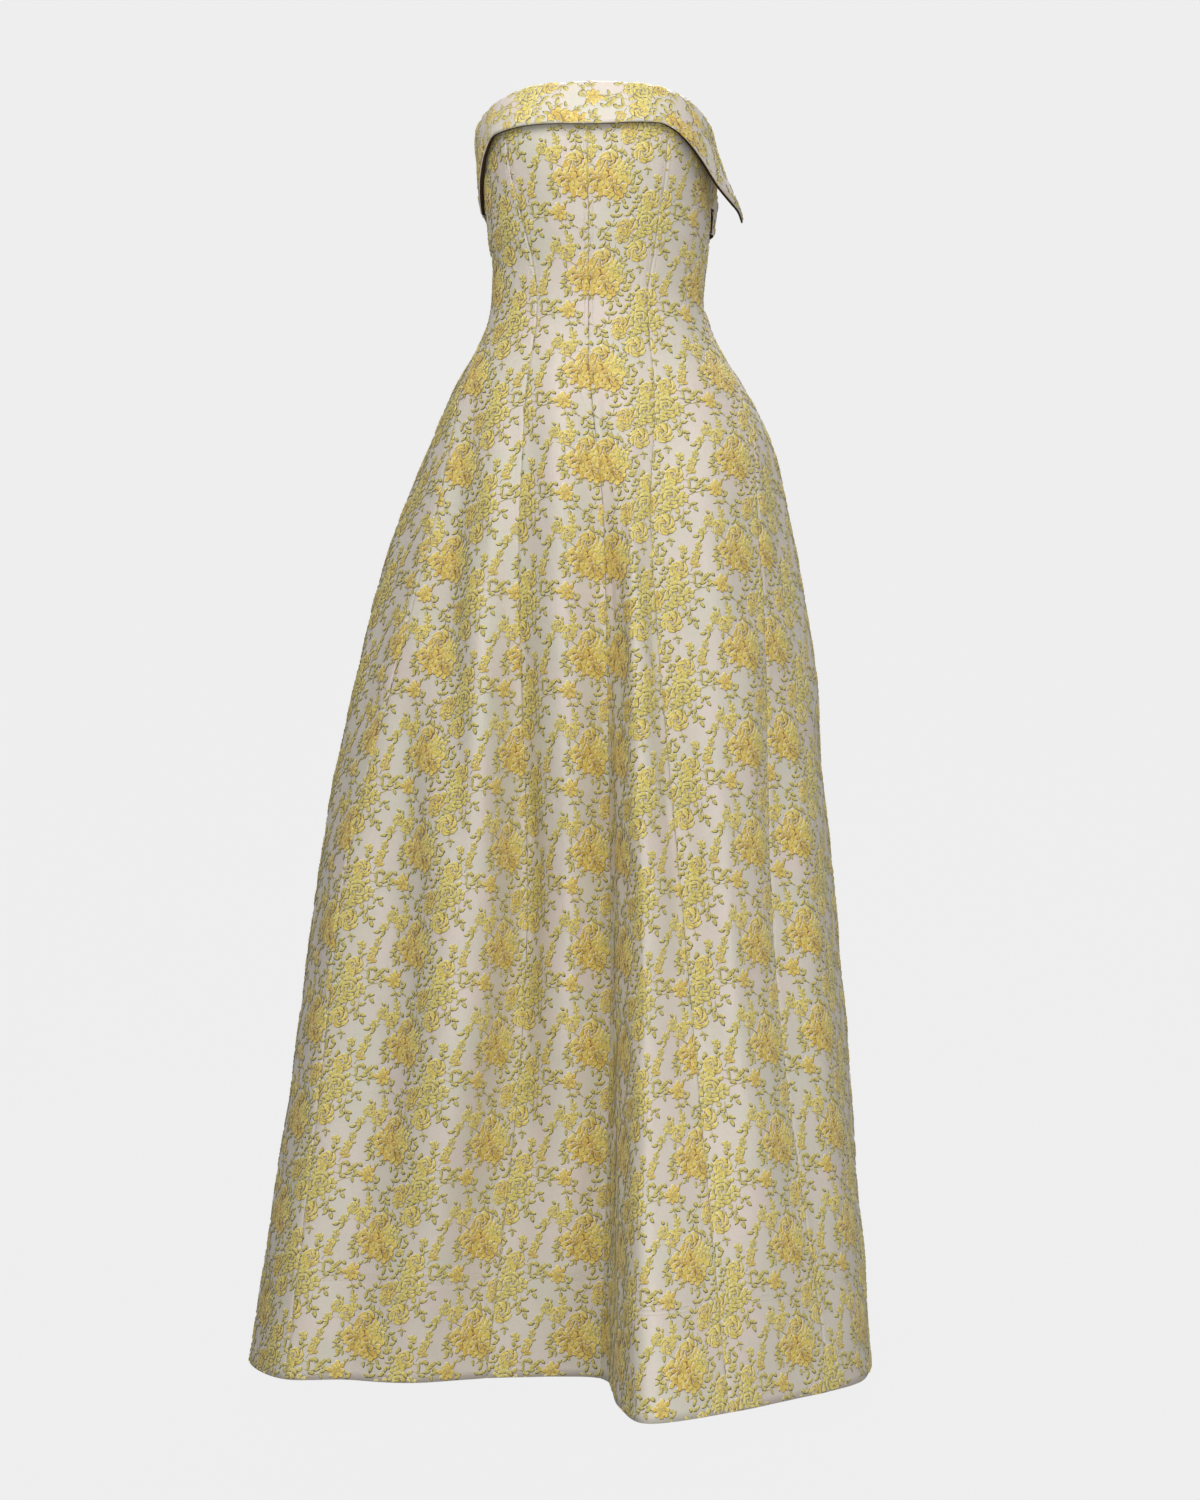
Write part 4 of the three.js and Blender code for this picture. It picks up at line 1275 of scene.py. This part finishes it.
def cuff_rows(top, bottom, flare, half_edge, belly):
    """Rows of a cuff, from its tucked edge over the neckline, down outside and back up behind the lower edge:
    height, stand-off and share of the way down. Then the first row outside, and where the dark underside,
    painted shade, joins."""

    def stand_off(share):
        return CUFF_OUTSIDE + flare * share**1.3 * (1 - belly * smooth_step(share, 0.55, 1.0))

    level = np.zeros_like(top)
    middle, reach = (CUFF_INSIDE + CUFF_OUTSIDE) / 2, (CUFF_OUTSIDE - CUFF_INSIDE) / 2
    rows = [(top - CUFF_TUCK * (1 - i / 3), level + CUFF_INSIDE, level) for i in range(3)]
    for a in np.linspace(0, math.pi, 11):
        arch = (CUFF_ARCH + CUFF_CLOTH / 2) * math.sin(a)
        rows.append((top + arch, level + middle - reach * math.cos(a), level))
    fold = len(rows)
    edge = bottom + half_edge
    rows += [(top + (edge - top) * t, stand_off(t), t) for t in np.linspace(0, 1, 17)[1:]]
    rolls = np.linspace(0, math.pi, 7)[1:]
    under = len(rows) + int(np.argmax(rolls > SHADED_UNDERSIDE_FROM))
    for a in rolls:
        rows.append((edge - half_edge * math.sin(a), stand_off(1.0) - half_edge * (1 - math.cos(a)), 1))
    for t in np.linspace(0, 1, 6)[1:]:
        z = edge + CUFF_RETURN * t
        share = np.clip(1 - (z - edge) / (top - edge), 0, 1)
        rows.append((z, np.maximum(stand_off(share) - 2 * half_edge, UNDERSIDE_STAND_OFF), share))
    return rows, fold, under


def cuff_grid(table, first, last, edge, ends, belly, closing):
    """Points and flat places of a cuff, and the row that the dark underside, painted shade, joins. The edge's
    fold closes up towards the free ends, and the first end lies close to the gown and comes away from it over
    closing degrees."""
    lower, flare, skew = (column(table, 0, value) for value in (1, 2, 3))
    columns = round((last - first) / CUFF_STEP)
    bearing = np.linspace(first, last, columns + 1)
    to_end = np.min([np.abs(bearing - end) for end in ends], axis=0)
    half_edge = edge / 2 * (CUFF_CLOSE + (1 - CUFF_CLOSE) * smooth_step(to_end, 0, CUFF_CLOSE_OVER))
    rows, fold, under = cuff_rows(panel_top(bearing), lower(bearing), flare(bearing), half_edge, belly)
    near = 1 - smooth_step(bearing, first, first + closing) if closing else 0
    points = []
    for z, off, share in rows:
        off = np.where(off > 0, off + (np.minimum(off, 1.0) - off) * near, off)
        s = place_at(bearing + skew(bearing) * share**2)
        points.append(surface(s, z) + level_outward(s, z) * off[:, None])
    points = np.array(points)
    u = run_along(points[fold])
    u = u - u[len(u) // 2]
    down = run_along(points)
    v = down[fold] - down
    return points, np.stack([np.broadcast_to(u, v.shape), v], axis=-1), under


class GOWN_OT_cuffs(bpy.types.Operator):
    """Makes the turned-down cuff in its three pieces"""

    bl_idname = "gown.cuffs"
    bl_label = "Cuffs"

    def execute(self, context):
        gown_materials()
        edge = context.scene.gown_look.cuff_edge / MM
        slit = math.degrees(CUFF_SLIT / 2 / left_width(BUST_HEIGHT))
        front, front_end = FRONT_CUFF[0][0], FRONT_CUFF[-1][0]
        back, back_end = BACK_CUFF[0][0], BACK_CUFF[-1][0]
        for name, table, first, last, ends, belly, closing in (
            ("cuff_front", FRONT_CUFF, front, front_end, (front_end,), 0, 0),
            ("cuff_back_left", BACK_CUFF, back, 180 - slit, (back, 180 - slit), 0.75, 9),
            ("cuff_back_right", BACK_CUFF, 180 + slit, back_end, (180 + slit,), 0.75, 0),
        ):
            points, flat, under = cuff_grid(table, first, last, edge, ends, belly, closing)
            # The rows under the lower edge are coloured dark brown, as painted shade under the cuff.
            facing = make_cloth("facing_" + name, points[under:], flat[under:], "Cuff facing")
            points, flat = points[: under + 1], flat[: under + 1]
            cloth = make_cloth("brocade_" + name, points, flat)
            flowers = lay_flowers(cloth, np.array(CUFF_FLOWERS) * MM, math.pi)
            thicken(cloth)
            thicken(facing)
            place_cloth(name, cloth, [flowers, facing], points, flat)
        return {"FINISHED"}


class GOWN_OT_zip(bpy.types.Operator):
    """Dresses the concealed zip"""

    bl_idname = "gown.zip"
    bl_label = "Zip"

    def execute(self, context):
        gown_materials()
        for node, material in (("zip", "Zip tape"), ("zip_slider", "Zip metal"), ("zip_pull", "Zip metal")):
            set_material(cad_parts[node], material)
        return {"FINISHED"}


class GOWN_OT_repeat(bpy.types.Operator):
    """Draws one flat repeat of the brocade and builds the trees that lay it on cloth"""

    bl_idname = "gown.repeat"
    bl_label = "Brocade repeat"

    def execute(self, context):
        new_piece("brocade_repeat", repeat_mesh())
        lay = lay_on_cloth_tree()
        flowers_tree(lay)
        stitches_tree(lay)
        return {"FINISHED"}


class GOWN_PT_sidebar(bpy.types.Panel):
    """Lists the steps that build the gown"""

    bl_idname = "GOWN_PT_sidebar"
    bl_label = "Brocade Gown"
    bl_space_type = "VIEW_3D"
    bl_region_type = "UI"
    bl_category = "Gown"

    def draw(self, context):
        look = context.scene.gown_look
        for field in GownLook.__annotations__:
            self.layout.prop(look, field)
        for step in STEPS:
            self.layout.operator(step.bl_idname)


STEPS = (GOWN_OT_stage, GOWN_OT_repeat, GOWN_OT_panels, GOWN_OT_cuffs, GOWN_OT_zip)
CLASSES = (GownLook, *STEPS, GOWN_PT_sidebar)


def register():
    for cls in CLASSES:
        bpy.utils.register_class(cls)
    bpy.types.Scene.gown_look = bpy.props.PointerProperty(type=GownLook)


def unregister():
    del bpy.types.Scene.gown_look
    for cls in reversed(CLASSES):
        bpy.utils.unregister_class(cls)


def main():
    register()
    for step in STEPS:
        group, name = step.bl_idname.split(".")
        getattr(getattr(bpy.ops, group), name)()
    bpy.data.objects.remove(bpy.data.objects["brocade_repeat"])


if __name__ == "__main__":
    main()
